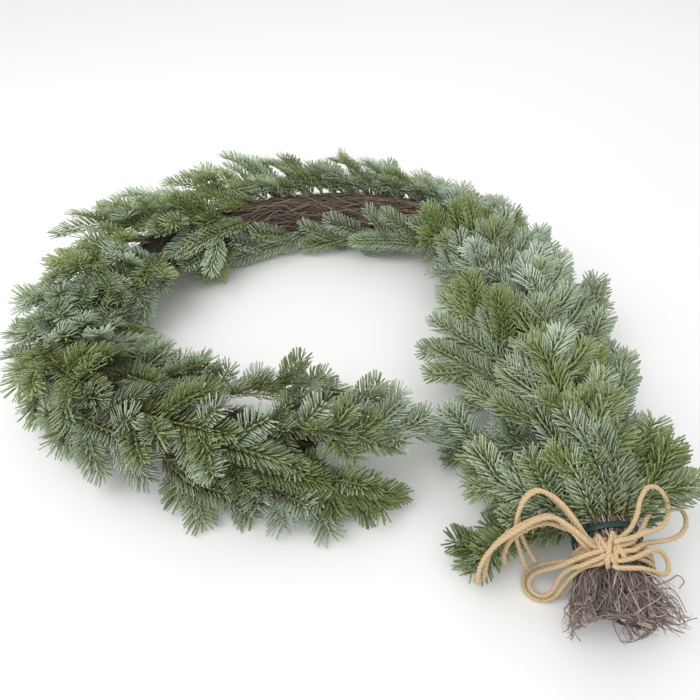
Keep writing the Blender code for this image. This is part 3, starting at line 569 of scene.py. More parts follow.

# %% [markdown]
# ## The twine of the bow
# Every tail and loop is one length of twine, laid through listed points. Its real length is what the
# route measures. The section is three round plies, which turn once in every seventeen millimetres.

# %% Routes of the twine
TWINE_RADIUS = 2.75 * MM
TWINE_LAY = 17 * MM
TWINE_SIDES = 15
FRAY_LENGTH = 7 * MM
FRAY_FIBRES = 26
FRAY_RADII = np.array([0.22, 0.17, 0.05]) * MM
FIBRES_PER_METRE = 480
FIBRE_LENGTH = 5 * MM
FIBRE_RADII = np.array([0.12, 0.09, 0.04]) * MM
TWINE_ROUTES = {
    "twine_tail_1": [
        (304.5, -378.6, 86), (297, -374, 89), (289, -369, 97), (279, -359, 108), (265, -344, 117),
        (248, -333, 119), (234, -336, 113), (226, -345, 101), (223, -354, 88), (226, -364, 66),
        (240, -376, 32),
    ],
    "twine_tail_2": [
        (299.4, -373.7, 79.5), (289, -365, 89), (279, -353, 100), (265, -338, 109), (249, -327, 111),
        (237, -329, 105), (230, -337, 95), (228, -348, 80), (236, -359, 58), (252, -370, 32),
    ],
    "twine_tail_3": [
        (300.5, -383.5, 89.5), (295, -381.5, 93), (287, -377, 99), (277, -369, 103), (260, -358, 106.5),
        (241, -360, 106), (222, -367, 99), (204, -374, 88), (191, -380, 72), (184, -387, 52),
        (183, -395, 28),
    ],
    "twine_tail_4": [
        (302.5, -385, 82), (295, -382, 84), (287, -376, 89), (277, -365, 94.5), (259, -352, 99.5),
        (241, -354.5, 98.5), (222, -361, 92), (206, -368, 81), (196, -374, 66), (192, -383, 47),
        (191, -391, 26),
    ],
    "twine_tail_5": [
        (302.2, -367.1, 76.1), (297, -361.6, 77.4), (288, -360.6, 80.6), (275, -358.6, 84.8),
        (259, -354.8, 88), (242, -357.5, 88), (230, -362, 85), (219.5, -366, 78), (214.5, -369, 65),
        (214.5, -370.5, 47), (217.5, -372.5, 29),
    ],
    "twine_loop_1": [
        (302.5, -390.5, 85.5), (295, -389.5, 80), (285.2, -386.3, 66), (276.5, -379.5, 48),
        (266.9, -373.2, 30), (257.6, -370.1, 15.5), (248.1, -374, 7), (242.5, -383.7, 3.8),
        (242.9, -394.9, 3.2), (251.5, -403, 3.2), (264, -404.8, 4.2), (274.4, -402.2, 12),
        (280.4, -397.7, 27), (285.1, -394.8, 47), (292.1, -394.3, 67), (303, -397.5, 83.5),
    ],
    "twine_loop_2": [
        (300.5, -389, 92), (291, -389.5, 87), (279, -389.2, 72), (271.5, -386.5, 53), (265, -382, 35),
        (258, -379.6, 21.5), (250.6, -382.3, 13.8), (247, -389.3, 10.6), (249, -396.8, 9.6),
        (255.5, -401.6, 9.5), (263.2, -402, 10.6), (269.6, -398.6, 15.5), (273.4, -394.6, 25),
        (275.5, -392, 39), (279.3, -392, 57), (285.5, -396.2, 75), (301, -395, 90.5),
    ],
    "twine_loop_3": [
        (326, -375.5, 94.5), (333, -371.5, 95.5), (341, -365.5, 99), (349, -354, 106), (355, -340, 114),
        (365, -329, 119), (377, -328, 117), (386, -336, 109), (388, -348, 99), (381, -359, 94),
        (367, -367, 97), (350, -374, 103), (335, -379.5, 104.5), (322, -382, 103.5),
    ],
    "twine_loop_4": [
        (323, -385, 97.5), (333, -382.5, 98), (342, -376.8, 97), (355.4, -363.8, 94), (368.8, -347.8, 90),
        (386.5, -333.7, 86), (405.5, -326.8, 82), (417.9, -333.2, 78), (418.6, -346.4, 75), (407, -360.1, 75),
        (388.4, -368.9, 78), (369.6, -374, 84), (350.6, -381, 92), (337, -388.9, 97), (323.5, -391, 97.5),
    ],
    "twine_loop_5": [
        (316.8, -398.5, 92), (329, -398, 94.5), (341, -394.6, 95), (352, -389.5, 94), (362, -386, 90.5),
        (371, -386, 85), (377, -390.8, 79.3), (378, -398.2, 75), (372.8, -404.6, 74.4), (363, -406.6, 79),
        (352, -406.4, 86), (339, -406, 91), (317.5, -405.8, 91.3),
    ],
}


def twine_mesh(line, radius, flare=0.0):
    """Points, triangles and tones of three plies laid round each other along a line, pulled tight."""
    lengths = lengths_along(line)
    sides = TWINE_SIDES
    turn = np.arange(sides) * 2 * math.pi / sides
    ply = np.abs(np.cos(1.5 * turn)) ** 0.7
    swell = 1 + flare * np.clip((lengths - lengths[-1] + FRAY_LENGTH) / FRAY_LENGTH, 0, 1) ** 2
    uneven = 1 + 0.035 * np.sin(lengths * 900) + 0.03 * np.sin(lengths * 2350 + 1)
    radii = radius * (0.74 + 0.25 * ply)[None] * (swell * uneven)[:, None]
    angles = turn[None] + (lengths * 2 * math.pi / TWINE_LAY)[:, None]
    points, triangles = swept(line, (radii, angles))
    tones = np.zeros((len(points), 4))
    ring = np.repeat(lengths, sides)
    tones[:-2, 0] = ring
    tones[:-2, 1] = np.tile(turn / (2 * math.pi), len(line))
    # Depth of the groove between plies, which the jute finish darkens as painted shade.
    tones[:-2, 2] = np.tile(1 - ply, len(line))
    tones[-2:, 2] = 0.6
    tones[:, 3] = 1
    return points, triangles, tones


def add_fibres(shell, draw, line, radius):
    """Adds the short stray fibres that lift off a twine."""
    along, first, second = carried_frames(line)
    lines = []
    for _ in range(int(lengths_along(line)[-1] * FIBRES_PER_METRE)):
        at = draw.randrange(1, len(line) - 1)
        turn = draw.uniform(0, 2 * math.pi)
        away = math.cos(turn) * first[at] + math.sin(turn) * second[at]
        length = draw.uniform(0.3, 1) * FIBRE_LENGTH
        lean = along[at] * draw.choice((-1, 1)) + 0.5 * np.cross(along[at], away)
        start = line[at] + away * radius * 0.85
        curl = away * draw.uniform(0.2, 0.8)
        bent = [start + lean * length * t + curl * length * t * (1 - 0.4 * t) for t in (0, 0.5, 1)]
        lines.append(np.array(bent))
    for fibre in lines:
        shell.add(*round_tube(fibre, FIBRE_RADII, 3), (draw.random(), 0.5, 0, 1))


print("routes", len(TWINE_ROUTES))

# %% [markdown]
# Each free length is laid as twine from its exit at the knot, and its length is measured and printed. Loops
# go back into the knot, tails end in a blunt, slightly frayed cut.

# %% Lay the tails and loops
KNOT_HEART = np.array((314.0, -386.0, 87.0))
HEART_PULL = 0.7
TUCK_MM = 6.5


def tucked_in(end, before):
    """One more point beyond a rope's end, on its way into the heart of the knot."""
    end = np.array(end, float)
    onward = unit(end - before) + HEART_PULL * unit(KNOT_HEART - end)
    return tuple(end + unit(onward) * TUCK_MM)


def add_frayed_end(shell, draw, line):
    """Adds the loose fibres at the cut end of a tail."""
    heading = unit(line[-1] - line[-5])
    for _ in range(FRAY_FIBRES):
        spread = np.array([draw.uniform(-1, 1) for _ in range(3)])
        start = line[-1] + spread * 1.4 * MM
        reach = heading * draw.uniform(1.5, 4.5) * MM
        fibre = np.array([start - heading * MM, start + reach * 0.5, start + reach + spread * 1.2 * MM])
        shell.add(*round_tube(fibre, FRAY_RADII, 3), (draw.random(), 0.5, 0.1, 1))


draw = random.Random(5)
fibres_shell = Shell()
for name, route in TWINE_ROUTES.items():
    tail = "tail" in name
    inwards = [tucked_in(route[0], route[1])]
    outwards = [] if tail else [tucked_in(route[-1], route[-2])]
    line = smooth_route(in_frame(inwards + route + outwards), 1.6 * MM)
    rope = Shell()
    rope.add(*twine_mesh(line, TWINE_RADIUS, 0.3 if tail else 0))
    made = rope.finish(name + "_twisted", [jute])
    length = lengths_along(line)[-1]
    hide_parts(name)
    add_fibres(fibres_shell, draw, line, TWINE_RADIUS * 0.94)
    if tail:
        add_frayed_end(fibres_shell, draw, line)
    print(name, "length", round(length, 3))

# %% [markdown]
# Three turns of the same twine go round the bundle, and the bow's knot lies across them as five short
# strands. The turns follow the core's surface at a small height, so they press on the twigs without cutting
# into them. A round heart inside the knot hides where the strands, tails and loops meet.

# %% Wind the turns and tie the knot
TURNED_GAP = 1.05 * MM
WRAP_STATION = 51 * MM
WRAP_PITCH = 6.1 * MM
KNOT_CLOCK = math.radians(-23)
KNOT_HALF = 15 * MM
KNOT_STRANDS = (
    (-8, 0.9, 3.4, 0), (-3, 1.1, 5.5, 1.6), (1.5, 1.15, -6.5, 3.4), (6.5, 0.95, -2.5, 0), (9, 0.7, 4, 0.8),
)
TURNS = 3
TURN_STEPS = 60
over = TURNED_GAP + TWINE_RADIUS + 0.65 * MM
turns = []
for step in range(TURNS * TURN_STEPS + 1):
    share = step / (TURNS * TURN_STEPS)
    clock = KNOT_CLOCK + 2 * TURNS * math.pi * share
    turns.append(on_core(WRAP_STATION + (share - 0.5) * TURNS * WRAP_PITCH, clock, over)[0])
wrap = Shell()
wrap_line = smooth_route(turns, 1.8 * MM)
wrap.add(*twine_mesh(wrap_line, TWINE_RADIUS))
middle, along, out = core_at(WRAP_STATION)
away = math.cos(KNOT_CLOCK) * UP + math.sin(KNOT_CLOCK) * out
around = math.cos(KNOT_CLOCK) * out - math.sin(KNOT_CLOCK) * UP
hug = core_radius(WRAP_STATION) + over
knot_middle = middle - along * 4 * MM
knot_lines = []
for side, reach, cross, rise in KNOT_STRANDS:
    strand = []
    for step in range(7):
        angle = math.pi * step / 6
        lift = hug + 0.3 * MM + (9.4 + rise) * MM * math.sin(angle) ** 0.7
        shift = side * MM + cross * MM * math.cos(angle)
        place = knot_middle - along * KNOT_HALF * reach * math.cos(angle)
        strand.append(place + around * shift + away * lift)
    knot_lines.append(smooth_route(strand, 1.5 * MM))
    wrap.add(*twine_mesh(knot_lines[-1], TWINE_RADIUS * 1.04))
for line in [wrap_line] + knot_lines:
    add_fibres(fibres_shell, draw, line, TWINE_RADIUS)
across_heart = np.linspace(-1, 1, 9)
heart_middle = knot_middle + away * (hug + 3.2 * MM)
heart_line = np.array([heart_middle + along * t * 9 * MM for t in across_heart])
heart_radii = 8.2 * MM * np.sqrt(np.clip(1 - across_heart**2, 0.02, 1))
# The heart's groove tone of 0.7 gives it painted shade, darker than the strands round it.
wrap.add(*round_tube(heart_line, heart_radii, 12), (0.1, 0.5, 0.7, 1))
knot = wrap.finish("twine_wrap_twisted", [jute])
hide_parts("twine_wrap")
stray_fibres = fibres_shell.finish("twine_fibres", [jute])
print("wrap triangles", len(knot.data.polygons), "fibre triangles", len(stray_fibres.data.polygons))

# %% [markdown]
# The band is a strip with rounded edges, turned round the bundle. A slow wave in its radius keeps it from
# looking machined.

# %% Turn the green band
BAND_STATION = 78 * MM
middle, along, out = core_at(BAND_STATION)
inner = core_radius(BAND_STATION) + TURNED_GAP
profile = [(0, -3.2), (0.3, -3.5), (1.0, -3.45), (1.2, -3.0), (1.2, 3.0), (1.0, 3.45), (0.3, 3.5), (0, 3.2)]
steps, rim = 96, len(profile)
points = []
for step in range(steps):
    angle = 2 * math.pi * step / steps
    wave = 0.12 * MM * (math.sin(5 * angle) + math.sin(11 * angle + 1) + 2)
    wander = 0.25 * math.sin(3 * angle)
    direction = math.cos(angle) * UP + math.sin(angle) * out
    for rise, travel in profile:
        points.append(middle + direction * (inner + rise * MM + wave) + along * (travel + wander) * MM)
triangles = []
for step in range(steps):
    for edge in range(rim):
        a, b = step * rim + edge, step * rim + (edge + 1) % rim
        c, d = (step + 1) % steps * rim + (edge + 1) % rim, (step + 1) % steps * rim + edge
        triangles += [(a, b, c), (a, c, d)]
band = piece_from("green_band_tape", points, triangles, np.ones((len(points), 4)), [band_tape])
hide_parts("green_band")
print("band triangles", len(triangles))

# %% [markdown]
# ## The bundle of vine twigs
# The core is hundreds of curly twigs laid side by side and tied. Each is a thin tube that runs along the
# bundle for a hand's length, drifts round it slowly and waves in and out. A body inside, coloured nearly
# black as painted shade, closes the view between them, as the inner twigs do on the real thing. It is
# slimmer than the bundle, so only depth shows.

# %% Inner body of the bundle
CORE_END = 2036 * MM
core = Shell()
stations = np.arange(14 * MM, CORE_END, 6 * MM)
rings, sides = len(stations), 28
grid_station = np.repeat(stations, sides)
grid_angle = np.tile(np.arange(sides) * 2 * math.pi / sides, rings)
draws = np.random.default_rng(3)
furrow = 1.1 * np.sin(grid_angle * 9 + grid_station * 60) + 0.9 * np.sin(grid_angle * 5 - grid_station * 34)
heights = (-5.5 + furrow + draws.uniform(-0.5, 0.5, len(grid_angle))) * MM
points = bundle_places(grid_station, grid_angle, heights)
points[:, 2] = np.maximum(points[:, 2], 0.4 * MM)
end_middles = [points[:sides].mean(0), points[-sides:].mean(0)]
triangles = tube_triangles(rings, sides)
# The depth tone of 0.9 paints the inner body nearly black: painted shade between the twigs.
core.add(np.vstack([points, end_middles]), triangles, (0.1, 0.25, 0.9, 1))
print("inner body triangles", len(triangles))

# %% [markdown]
# The twigs themselves: about four in five lie where the core shows, at the trimmed end, at the far bend and
# at the free end. Near the bow they pass under the twine and the band, so their height is held down there.
# Three in ten spring out of the bundle and come back.

# %% Twigs along the bundle
TWIG_COUNT = 1560
TWIG_POINTS = 14
BARE_ZONES = np.array(((-0.01, 0.12), (0.70, 1.22), (1.78, 2.0)))
ZONE_SHARES = (0.22, 0.52, 0.08)
SHORTEST_TWIG = 25 * MM
draws = np.random.default_rng(12)


def highest(stations, radius):
    """How high a twig's middle may lie: under the twine and band at the bow, a little proud elsewhere."""
    at_bow = np.interp(stations, np.array((24, 32, 86, 95)) * MM, (1, 0, 0, 1))
    return (0.6 * MM - radius) * (1 - at_bow) + (2.5 * MM - radius) * at_bow


twig_total = 0
for _ in range(TWIG_COUNT):
    length = draws.uniform(80, 230) * MM
    zone = draws.choice(4, p=(*ZONE_SHARES, 1 - sum(ZONE_SHARES)))
    low, high = BARE_ZONES[zone] if zone < 3 else (-0.02, 2.02)
    centre = draws.uniform(low, high)
    t = np.linspace(0, 1, TWIG_POINTS)
    stations = np.clip(centre + length * (t - 0.5), -draws.uniform(0, 7) * MM, CORE_END)
    if stations[-1] - stations[0] < SHORTEST_TWIG:
        continue
    drift = draws.normal(0, 0.8)
    waves = length / (draws.uniform(60, 200) * MM)
    wave = draws.uniform(0.03, 0.20) * np.sin(2 * math.pi * (t * waves + draws.random()))
    kinks = np.cumsum(draws.normal(0, 0.045, len(t)))
    clocks = draws.uniform(0, 2 * math.pi) + drift * t + wave + kinks
    radius = (0.5 + 0.75 * draws.random() ** 1.8) * MM
    springy = draws.random() < 0.3
    sway = (draws.uniform(2.5, 6.5) if springy else draws.uniform(0.6, 2.4)) * MM
    depth = draws.uniform(0, 1)
    heights = -4 * depth * MM + sway * np.sin(2 * math.pi * (t * draws.uniform(0.5, 1.7) + draws.random()))
    top = highest(stations, radius) + (3.5 * MM if springy else 0) * np.interp(stations, (0.09, 0.12), (0, 1))
    heights = np.minimum(heights, top)
    line = bundle_places(stations, clocks, heights)
    keep = np.concatenate([[True], np.linalg.norm(np.diff(line, axis=0), axis=1) > 0.2 * MM])
    line = line[keep]
    if len(line) < 4:
        continue
    line[:, 2] = np.maximum(line[:, 2], radius)
    taper = radius * np.linspace(1, draws.uniform(0.45, 0.8), len(line))
    paleness = draws.uniform(0.55, 1.1) if draws.random() < 0.3 else draws.uniform(0.0, 0.45)
    faded = np.interp(stations[0], (0.0, 0.25), (0.95, 0.1))
    points, triangles = round_tube(line, taper, 4)
    # The third tone is painted shade: the deeper the twig lies, the darker it is coloured.
    core.add(points, triangles, (paleness, faded, 0.55 * depth, 1))
    twig_total += 1
twig_bundle = core.finish("vine_bundle", [vine_bark])
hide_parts("vine_core")
print("twigs", twig_total, "bundle triangles", len(twig_bundle.data.polygons))

# %% [markdown]
# At the trimmed end the bundle opens into a broom, an open tangle of curly twigs. Most of those that stand
# out are on its outer side, a few swing across the top. Four of them are in the solids and are repeated
# here. The rest are drawn by chance in four kinds, each with its own clock angles and its own spread.

# %% Loose twigs of the broom
STRAY_TWIGS = [
    [(352, -402, 40), (374, -404, 44), (392, -398, 42), (407, -390, 36), (415, -394, 30), (408, -401, 27)],
    [(350, -412, 34), (372, -418, 34), (386, -412, 30), (397, -414, 26), (401, -424, 22), (398, -434, 20)],
    [(346, -420, 24), (362, -428, 20), (376, -428, 16), (386, -434, 13), (390, -442, 12)],
    [(304, -420, 34), (291, -426, 28), (284, -433, 21), (287, -440, 15)],
]
BROOM_TWIGS = 300
FRONT = core_at(0)[0][1] - 20 * MM
broom = Shell()
for route in STRAY_TWIGS:
    line = smooth_route(in_frame(route), 2.5 * MM)
    points, triangles = round_tube(line, np.linspace(1.2, 0.6, len(line)) * MM, 5)
    broom.add(points, triangles, (0.45, 1.0, 0.0, 1))
draws = np.random.default_rng(31)
for _ in range(BROOM_TWIGS):
    t = np.linspace(0, 1, 16)
    kind = draws.choice(("outer", "inner", "across", "body"), p=(0.42, 0.08, 0.16, 0.34))
    clock = {"outer": draws.uniform(0.4, 2.0), "inner": draws.uniform(-2.2, -0.9),
             "across": draws.uniform(-1.2, 1.6), "body": draws.uniform(-1.9, 2.6)}[kind]
    fan = {"outer": draws.uniform(0.3, 1.5), "inner": draws.uniform(0.0, 0.12),
           "across": draws.uniform(0.0, 0.2), "body": draws.uniform(0.0, 0.25)}[kind]
    root = draws.uniform(24, 40) * MM if kind == "outer" else draws.uniform(4, 34) * MM
    length = draws.uniform(34, 72) * MM * (0.75 if kind == "inner" else 1)
    stations = root - length * t * (1 - 0.55 * min(fan, 1))
    heights = (-draws.uniform(0, 5) + length / MM * 0.48 * fan * t**1.3) * MM
    sweep = draws.choice((-1, 1)) * draws.uniform(0.7, 1.5) if kind == "across" else draws.uniform(-0.5, 0.5)
    waves = t * draws.uniform(0.4, 1.1) + draws.random()
    clocks = clock + sweep * t + draws.uniform(0.08, 0.3) * np.sin(2 * math.pi * waves)
    line = bundle_places(stations, clocks, heights)
    curl = np.sin(2 * math.pi * (t * draws.uniform(0.5, 1.4) + draws.random())) * t
    line += np.outer(curl, draws.normal(0, 6 * MM, 3))
    radius = (0.42 + 0.62 * draws.random() ** 1.3) * MM
    line[:, 2] = np.maximum(line[:, 2], radius + 0.2 * MM)
    line[:, 1] = np.maximum(line[:, 1], FRONT + draws.uniform(0, 5) * MM)
    line = smooth_route(line[::2], 3.2 * MM)
    points, triangles = round_tube(line, radius * np.linspace(1, 0.5, len(line)), 4)
    paleness = draws.uniform(0.6, 1.15) if draws.random() < 0.42 else draws.uniform(0.0, 0.4)
    broom.add(points, triangles, (paleness, 1.0, 0.0, 1))
broom_twigs = broom.finish("broom_twigs", [vine_bark])
print("broom triangles", len(broom_twigs.data.polygons))

# %% [markdown]
# ## Where the stems of the sprays run
# A spray is one cut end of a fir branch: a main stem with side shoots in one plane. The stems follow the
# same rule as in the solids, with the same seeds, so every spray comes out where its solid is. Each stem
# tries a few draws and takes the one that stands clearest of those laid before it.

# %% Feet and tips of the sprays
PLACED_SPRAYS = [
    (93, 32, (420, -290, 76)), (92, -8, (322, -200, 125)), (95, -48, (198, -257, 45)),
    (96, -84, (180, -358, 10)), (118, 78, (392, -236, 84)), (204, -82, (180, -187, 24)),
    (1985, -12, (164, -221, 52)), (1955, -62, (132, -194, 75)), (1992, 72, (104, -281, 24)),
    (1935, 100, (38, -292, 14)), (1948, 18, (94, -252, 88)), (1835, 96, (-62, -279, 12)),
    (1840, -52, (36, -168, 92)),
]
ROWS = [
    (165, [(-4, 84), (74, 98)]),
    (305, [(-76, 116), (10, 80), (86, 116)]),
    (445, [(-88, 100), (-30, 80), (72, 84)]),
    (585, [(-60, 92), (24, 70), (92, 78)]),
    (725, [(-100, 84), (44, 78), (96, 78)]),
    (875, [(-126, 66), (44, 104)]),
    (1025, [(-134, 56), (34, 108), (92, 90)]),
    (1190, [(-34, 70), (28, 98), (72, 116)]),
    (1320, [(-74, 78), (-4, 78), (78, 78)]),
    (1450, [(-88, 92), (26, 70), (104, 68)]),
    (1585, [(-56, 100), (12, 76), (92, 62)]),
    (1715, [(-54, 90), (60, 68)]),
    (1775, [(4, 84)]),
]
MAIN_WHORLS = (0.20, 0.40, 0.60, 0.76, 0.90)
FORKS = ((1, 92, (0.42, 0.80)), (-1, 86, (0.42, 0.80)), (1, 70, (0.58,)))
STEM_CLEAR = 7 * MM
STEM_GAP = 5.5 * MM
STEM_FLOOR = 4.2 * MM
STEM_CEILING = 172 * MM
TAKEN_STEP = 4 * MM
ANY_REACH = 1.0


def keep_out_radius(station):
    """How far from the core's middle a stem or needle stays: outside its lobes and, at the bow, the twine."""
    at_bow = np.interp(station, np.array((0, 22, 34, 86, 98)) * MM, np.array((0, 0, 9, 9, 0)) * MM)
    return core_radius(station) * (1 + LOBE_HEIGHT) + at_bow


KEEP_OUT = keep_out_radius(CORE_LENGTHS)
print("sprays", len(PLACED_SPRAYS) + sum(len(places) for station, places in ROWS))


# %% Helpers that lay one stem
def kept_clear(point, gap, reach):
    """The point moved off the core, inside the garland's reach, above the floor and not too high."""
    nearest = int(np.argmin(np.linalg.norm(CORE_LINE - point, axis=1)))
    offset = point - CORE_LINE[nearest]
    distance = np.linalg.norm(offset)
    least = KEEP_OUT[nearest] + gap
    offset *= min(max(distance, least), max(reach, least)) / distance
    point = CORE_LINE[nearest] + offset
    point[2] = min(max(point[2], STEM_FLOOR), STEM_CEILING)
    return point


def even_line(line, spacing):
    """Points at even steps along straight stretches."""
    lengths = lengths_along(line)
    at = np.linspace(0, lengths[-1], max(2, round(lengths[-1] / spacing) + 1))
    return at_lengths(line, lengths, at)


def clearance(line, taken):
    """Least distance from a stem to the points that are taken."""
    return np.linalg.norm(even_line(line, 7 * MM)[:, None] - taken[None], axis=2).min()


def row_stem(station, clock, turn, length, reach):
    """Points of a stem that follows the core, rising from inside it to its reach."""
    start = core_radius(station)
    points = [on_core(station, clock, -8 * MM)[0]]
    for share in (*MAIN_WHORLS, 1):
        place = station + length * share * math.cos(turn)
        around = clock + length * share * math.sin(turn) / reach
        height = 9 * MM + (reach - start - 9 * MM) * share**1.2
        point = on_core(place, around, start + height - core_radius(place))[0]
        points.append(kept_clear(point, STEM_GAP, ANY_REACH))
    return np.array(points)


def placed_stem(station, clock, tip):
    """Points of a stem that leaves the core and bends over to a given tip."""
    root, _, _, away = on_core(station, clock, -8 * MM)
    points = [root]
    for share in (*MAIN_WHORLS, 1):
        lift = 30 * MM * 4 * (share - share**2) ** 1.2
        point = root + (tip - root) * share + away * lift
        points.append(kept_clear(point, STEM_GAP, ANY_REACH))
    return np.array(points)


def side_stem(main, fork, side, length, whorls, turn, lift, reach, tilt=0.0):
    """Points of a side shoot that leaves a whorl of the main stem to one side: whorls and tip."""
    heading = unit(main[fork + 1] - main[fork - 1])
    nearest = int(np.argmin(np.linalg.norm(CORE_LINE - main[fork], axis=1)))
    away = unit(unit(main[fork] - CORE_LINE[nearest]) + tilt * UP)
    across = unit(np.cross(heading, away)) * side
    points = [main[fork]]
    before = 0.0
    for share in (*whorls, 1):
        angle = turn * (1 - 0.2 * (before + share))
        direction = unit(math.cos(angle) * heading + math.sin(angle) * across + lift * away)
        point = points[-1] + direction * length * (share - before)
        points.append(kept_clear(point, 7 * MM, reach))
        before = share
    return np.array(points)


# %% Lay the stems of every spray
def lay_stems():
    """Stems of every spray, main stems first, and all the points that they take."""
    draw = random.Random(21)
    taken = np.vstack([smooth_route(in_frame(route), TAKEN_STEP) for route in TWINE_ROUTES.values()])
    plans = [(station, clock, in_frame(tip), 0) for station, clock, tip in PLACED_SPRAYS]
    for station, places in ROWS:
        plans += [(station, clock, None, reach * MM) for clock, reach in places]
    sprays = []
    for station, clock, tip, reach in plans:
        length = 178 * MM * draw.uniform(0.92, 1.06)
        choices = []
        for number in range(14):
            place = station * MM + draw.uniform(-1, 1) * (3 if reach == 0 else 18) * MM
            around = math.radians(clock) + draw.uniform(-0.2, 0.2)
            if reach == 0:
                line = placed_stem(place, around, tip)
            else:
                turn = draw.uniform(-0.2, 0.2)
                line = row_stem(place, around, turn, length, reach * draw.uniform(0.95, 1.04))
            choices.append((min(clearance(line[1:], taken), 24 * MM), -number, line))
        main = max(choices)[2]
        sprays.append([main])
        taken = np.vstack([taken, even_line(main, TAKEN_STEP)])
    for stems, (station, clock, tip, reach) in zip(sprays, plans):
        limit = reach + 8 * MM if reach else ANY_REACH
        for fork, (side, side_length, whorls) in enumerate(FORKS, 1):
            choices = []
            for number in range(9):
                shrink = (1 if reach else 0.7) - 0.45 * number / 9
                length = side_length * MM * shrink
                turn = math.radians(48) + draw.uniform(-0.2, 0.25)
                lift = draw.uniform(-0.4, 0.2)
                line = side_stem(stems[0], fork, side, length, whorls, turn, lift, limit)
                room = min(clearance(even_line(line, TAKEN_STEP)[5:], taken), STEM_CLEAR)
                choices.append((room, -number, line))
            stems.append(max(choices)[2] if max(choices)[0] > STEM_CLEAR * 0.85 else None)
        for line in stems[1:]:
            if line is not None:
                taken = np.vstack([taken, even_line(line, TAKEN_STEP)[2:]])
    return sprays, plans, taken


sprays, plans, taken = lay_stems()
print("stems", sum(line is not None for stems in sprays for line in stems))

# %% [markdown]
# The solids keep three side shoots a spray. A real branch carries them in opposite pairs, so the missing
# ones are added here by the same rule, shorter towards the tip, and each again takes the clearest of a few
# draws. The three sprays under the bare stretch stay as they are, so that they don't cover it.

# %% Add the shoots that the solids leave out
MORE_FORKS = ((1, -1, 84), (2, 1, 78), (3, -1, 66), (4, 1, 52), (4, -1, 50), (1, 1, 56), (2, -1, 54))
MORE_ROOM = 8.5 * MM
ENOUGH_ROOM = 14 * MM
UPWARD = 0.9


def room_round(line):
    """Clearance of a side shoot, its first points left out because they leave its own main stem."""
    return min(clearance(even_line(line, TAKEN_STEP)[3:], taken), ENOUGH_ROOM)


def take_best(stems, choices):
    """Adds the side shoot that stands clearest, if it has room. Tells whether it did."""
    global taken
    room, _, line = max(choices)
    if room <= MORE_ROOM:
        return False
    stems.append(line)
    taken = np.vstack([taken, even_line(line, TAKEN_STEP)[2:]])
    return True


draw = random.Random(77)
added = 0
for stems, (station, clock, tip, reach) in zip(sprays, plans):
    limit = reach + 8 * MM if reach else ANY_REACH
    if clock < -98:
        continue
    for fork, side, side_length in MORE_FORKS:
        choices = []
        for attempt in range(6):
            length = side_length * MM * ((1 if reach else 0.72) - 0.05 * attempt) * draw.uniform(0.9, 1.08)
            turn = math.radians(46) + draw.uniform(-0.25, 0.3)
            lift = draw.uniform(-0.2, 0.9)
            line = side_stem(stems[0], fork, side, length, (0.35, 0.7), turn, lift, limit, UPWARD)
            choices.append((room_round(line), -attempt, line))
        added += take_best(stems, choices)
total_run = sum(lengths_along(line)[-1] for stems in sprays for line in stems if line is not None)
print("shoots added", added, "metres of shoot", round(total_run, 2))

# %% [markdown]
# ## Tufts between the sprays
# A florist tucks short tips in wherever the core still shows or the outline has a hole. Some are listed one
# by one: where their foot is on the core and where their tip ends. The rest find their own places: a walk
# along the core looks for spots that no stem passes, outside the stretch that stays bare at the far bend. A
# row of tufts hugs the outer edge of that stretch, and another comes out from under the band at the bow.

# %% Place the tufts
SET_TUFTS = [
    (1075, 34, (-200, 374, 156)), (1062, 20, (-166, 362, 158)), (1020, 40, (-128, 372, 144)),
    (880, 36, (10, 376, 146)), (830, 40, (62, 372, 142)), (800, 30, (112, 340, 138)),
    (1290, 30, (-452, 150, 128)), (1205, 34, (-372, 262, 136)), (1150, 24, (-300, 306, 136)),
    (985, 30, (-88, 350, 140)), (930, 44, (-40, 378, 124)),
    (1120, 6, (-282, 196, 104)), (1100, 34, (-318, 252, 120)), (1140, -50, (-258, 158, 82)),
    (1040, 46, (-150, 338, 124)), (960, 46, (-66, 354, 122)), (900, 46, (-6, 362, 122)),
    (845, 46, (50, 352, 120)), (790, 44, (98, 338, 122)), (735, 40, (152, 316, 122)),
    (1012, 62, (-106, 362, 104)), (1064, 60, (-164, 342, 106)), (858, 64, (44, 380, 104)),
    (806, 62, (94, 368, 104)), (752, 60, (142, 346, 106)), (938, 64, (-40, 376, 104)),
    (1120, 56, (-226, 318, 104)),
    (1420, -36, (-352, -10, 98)), (1540, 2, (-346, -112, 104)), (1500, 30, (-392, -70, 108)),
    (590, 8, (266, 236, 114)), (398, -22, (292, 32, 108)),
    (1395, 4, (-366, -34, 116)), (1330, -60, (-300, 62, 96)),
    (318, -78, (172, -4, 72)), (282, -84, (170, -66, 70)), (372, -76, (192, 46, 78)),
    (232, -82, (206, -126, 60)),
    (150, -34, (262, -176, 96)), (330, -12, (270, 0, 112)),
    (1868, 36, (-38, -280, 96)), (1826, -18, (-36, -192, 106)), (1900, 62, (8, -290, 70)),
    (92, 12, (338, -262, 118)), (93, -30, (290, -268, 108)), (94, 54, (380, -300, 96)),
    (96, 2, (306, -232, 128)),
]
BOW_CLOCKS = (-58, -34, -8, 16, 42, 66)
EDGE_STATIONS = (705, 748, 790, 832, 876, 918, 960, 1002, 1046, 1090)
BARE_STATIONS = (745 * MM, 1212 * MM)
BARE_CLOCKS = (math.radians(-150), math.radians(24))
TUFT_ROOM = 24.5 * MM
SEARCH_STEPS = 104
LAST_TUFT = 1960 * MM


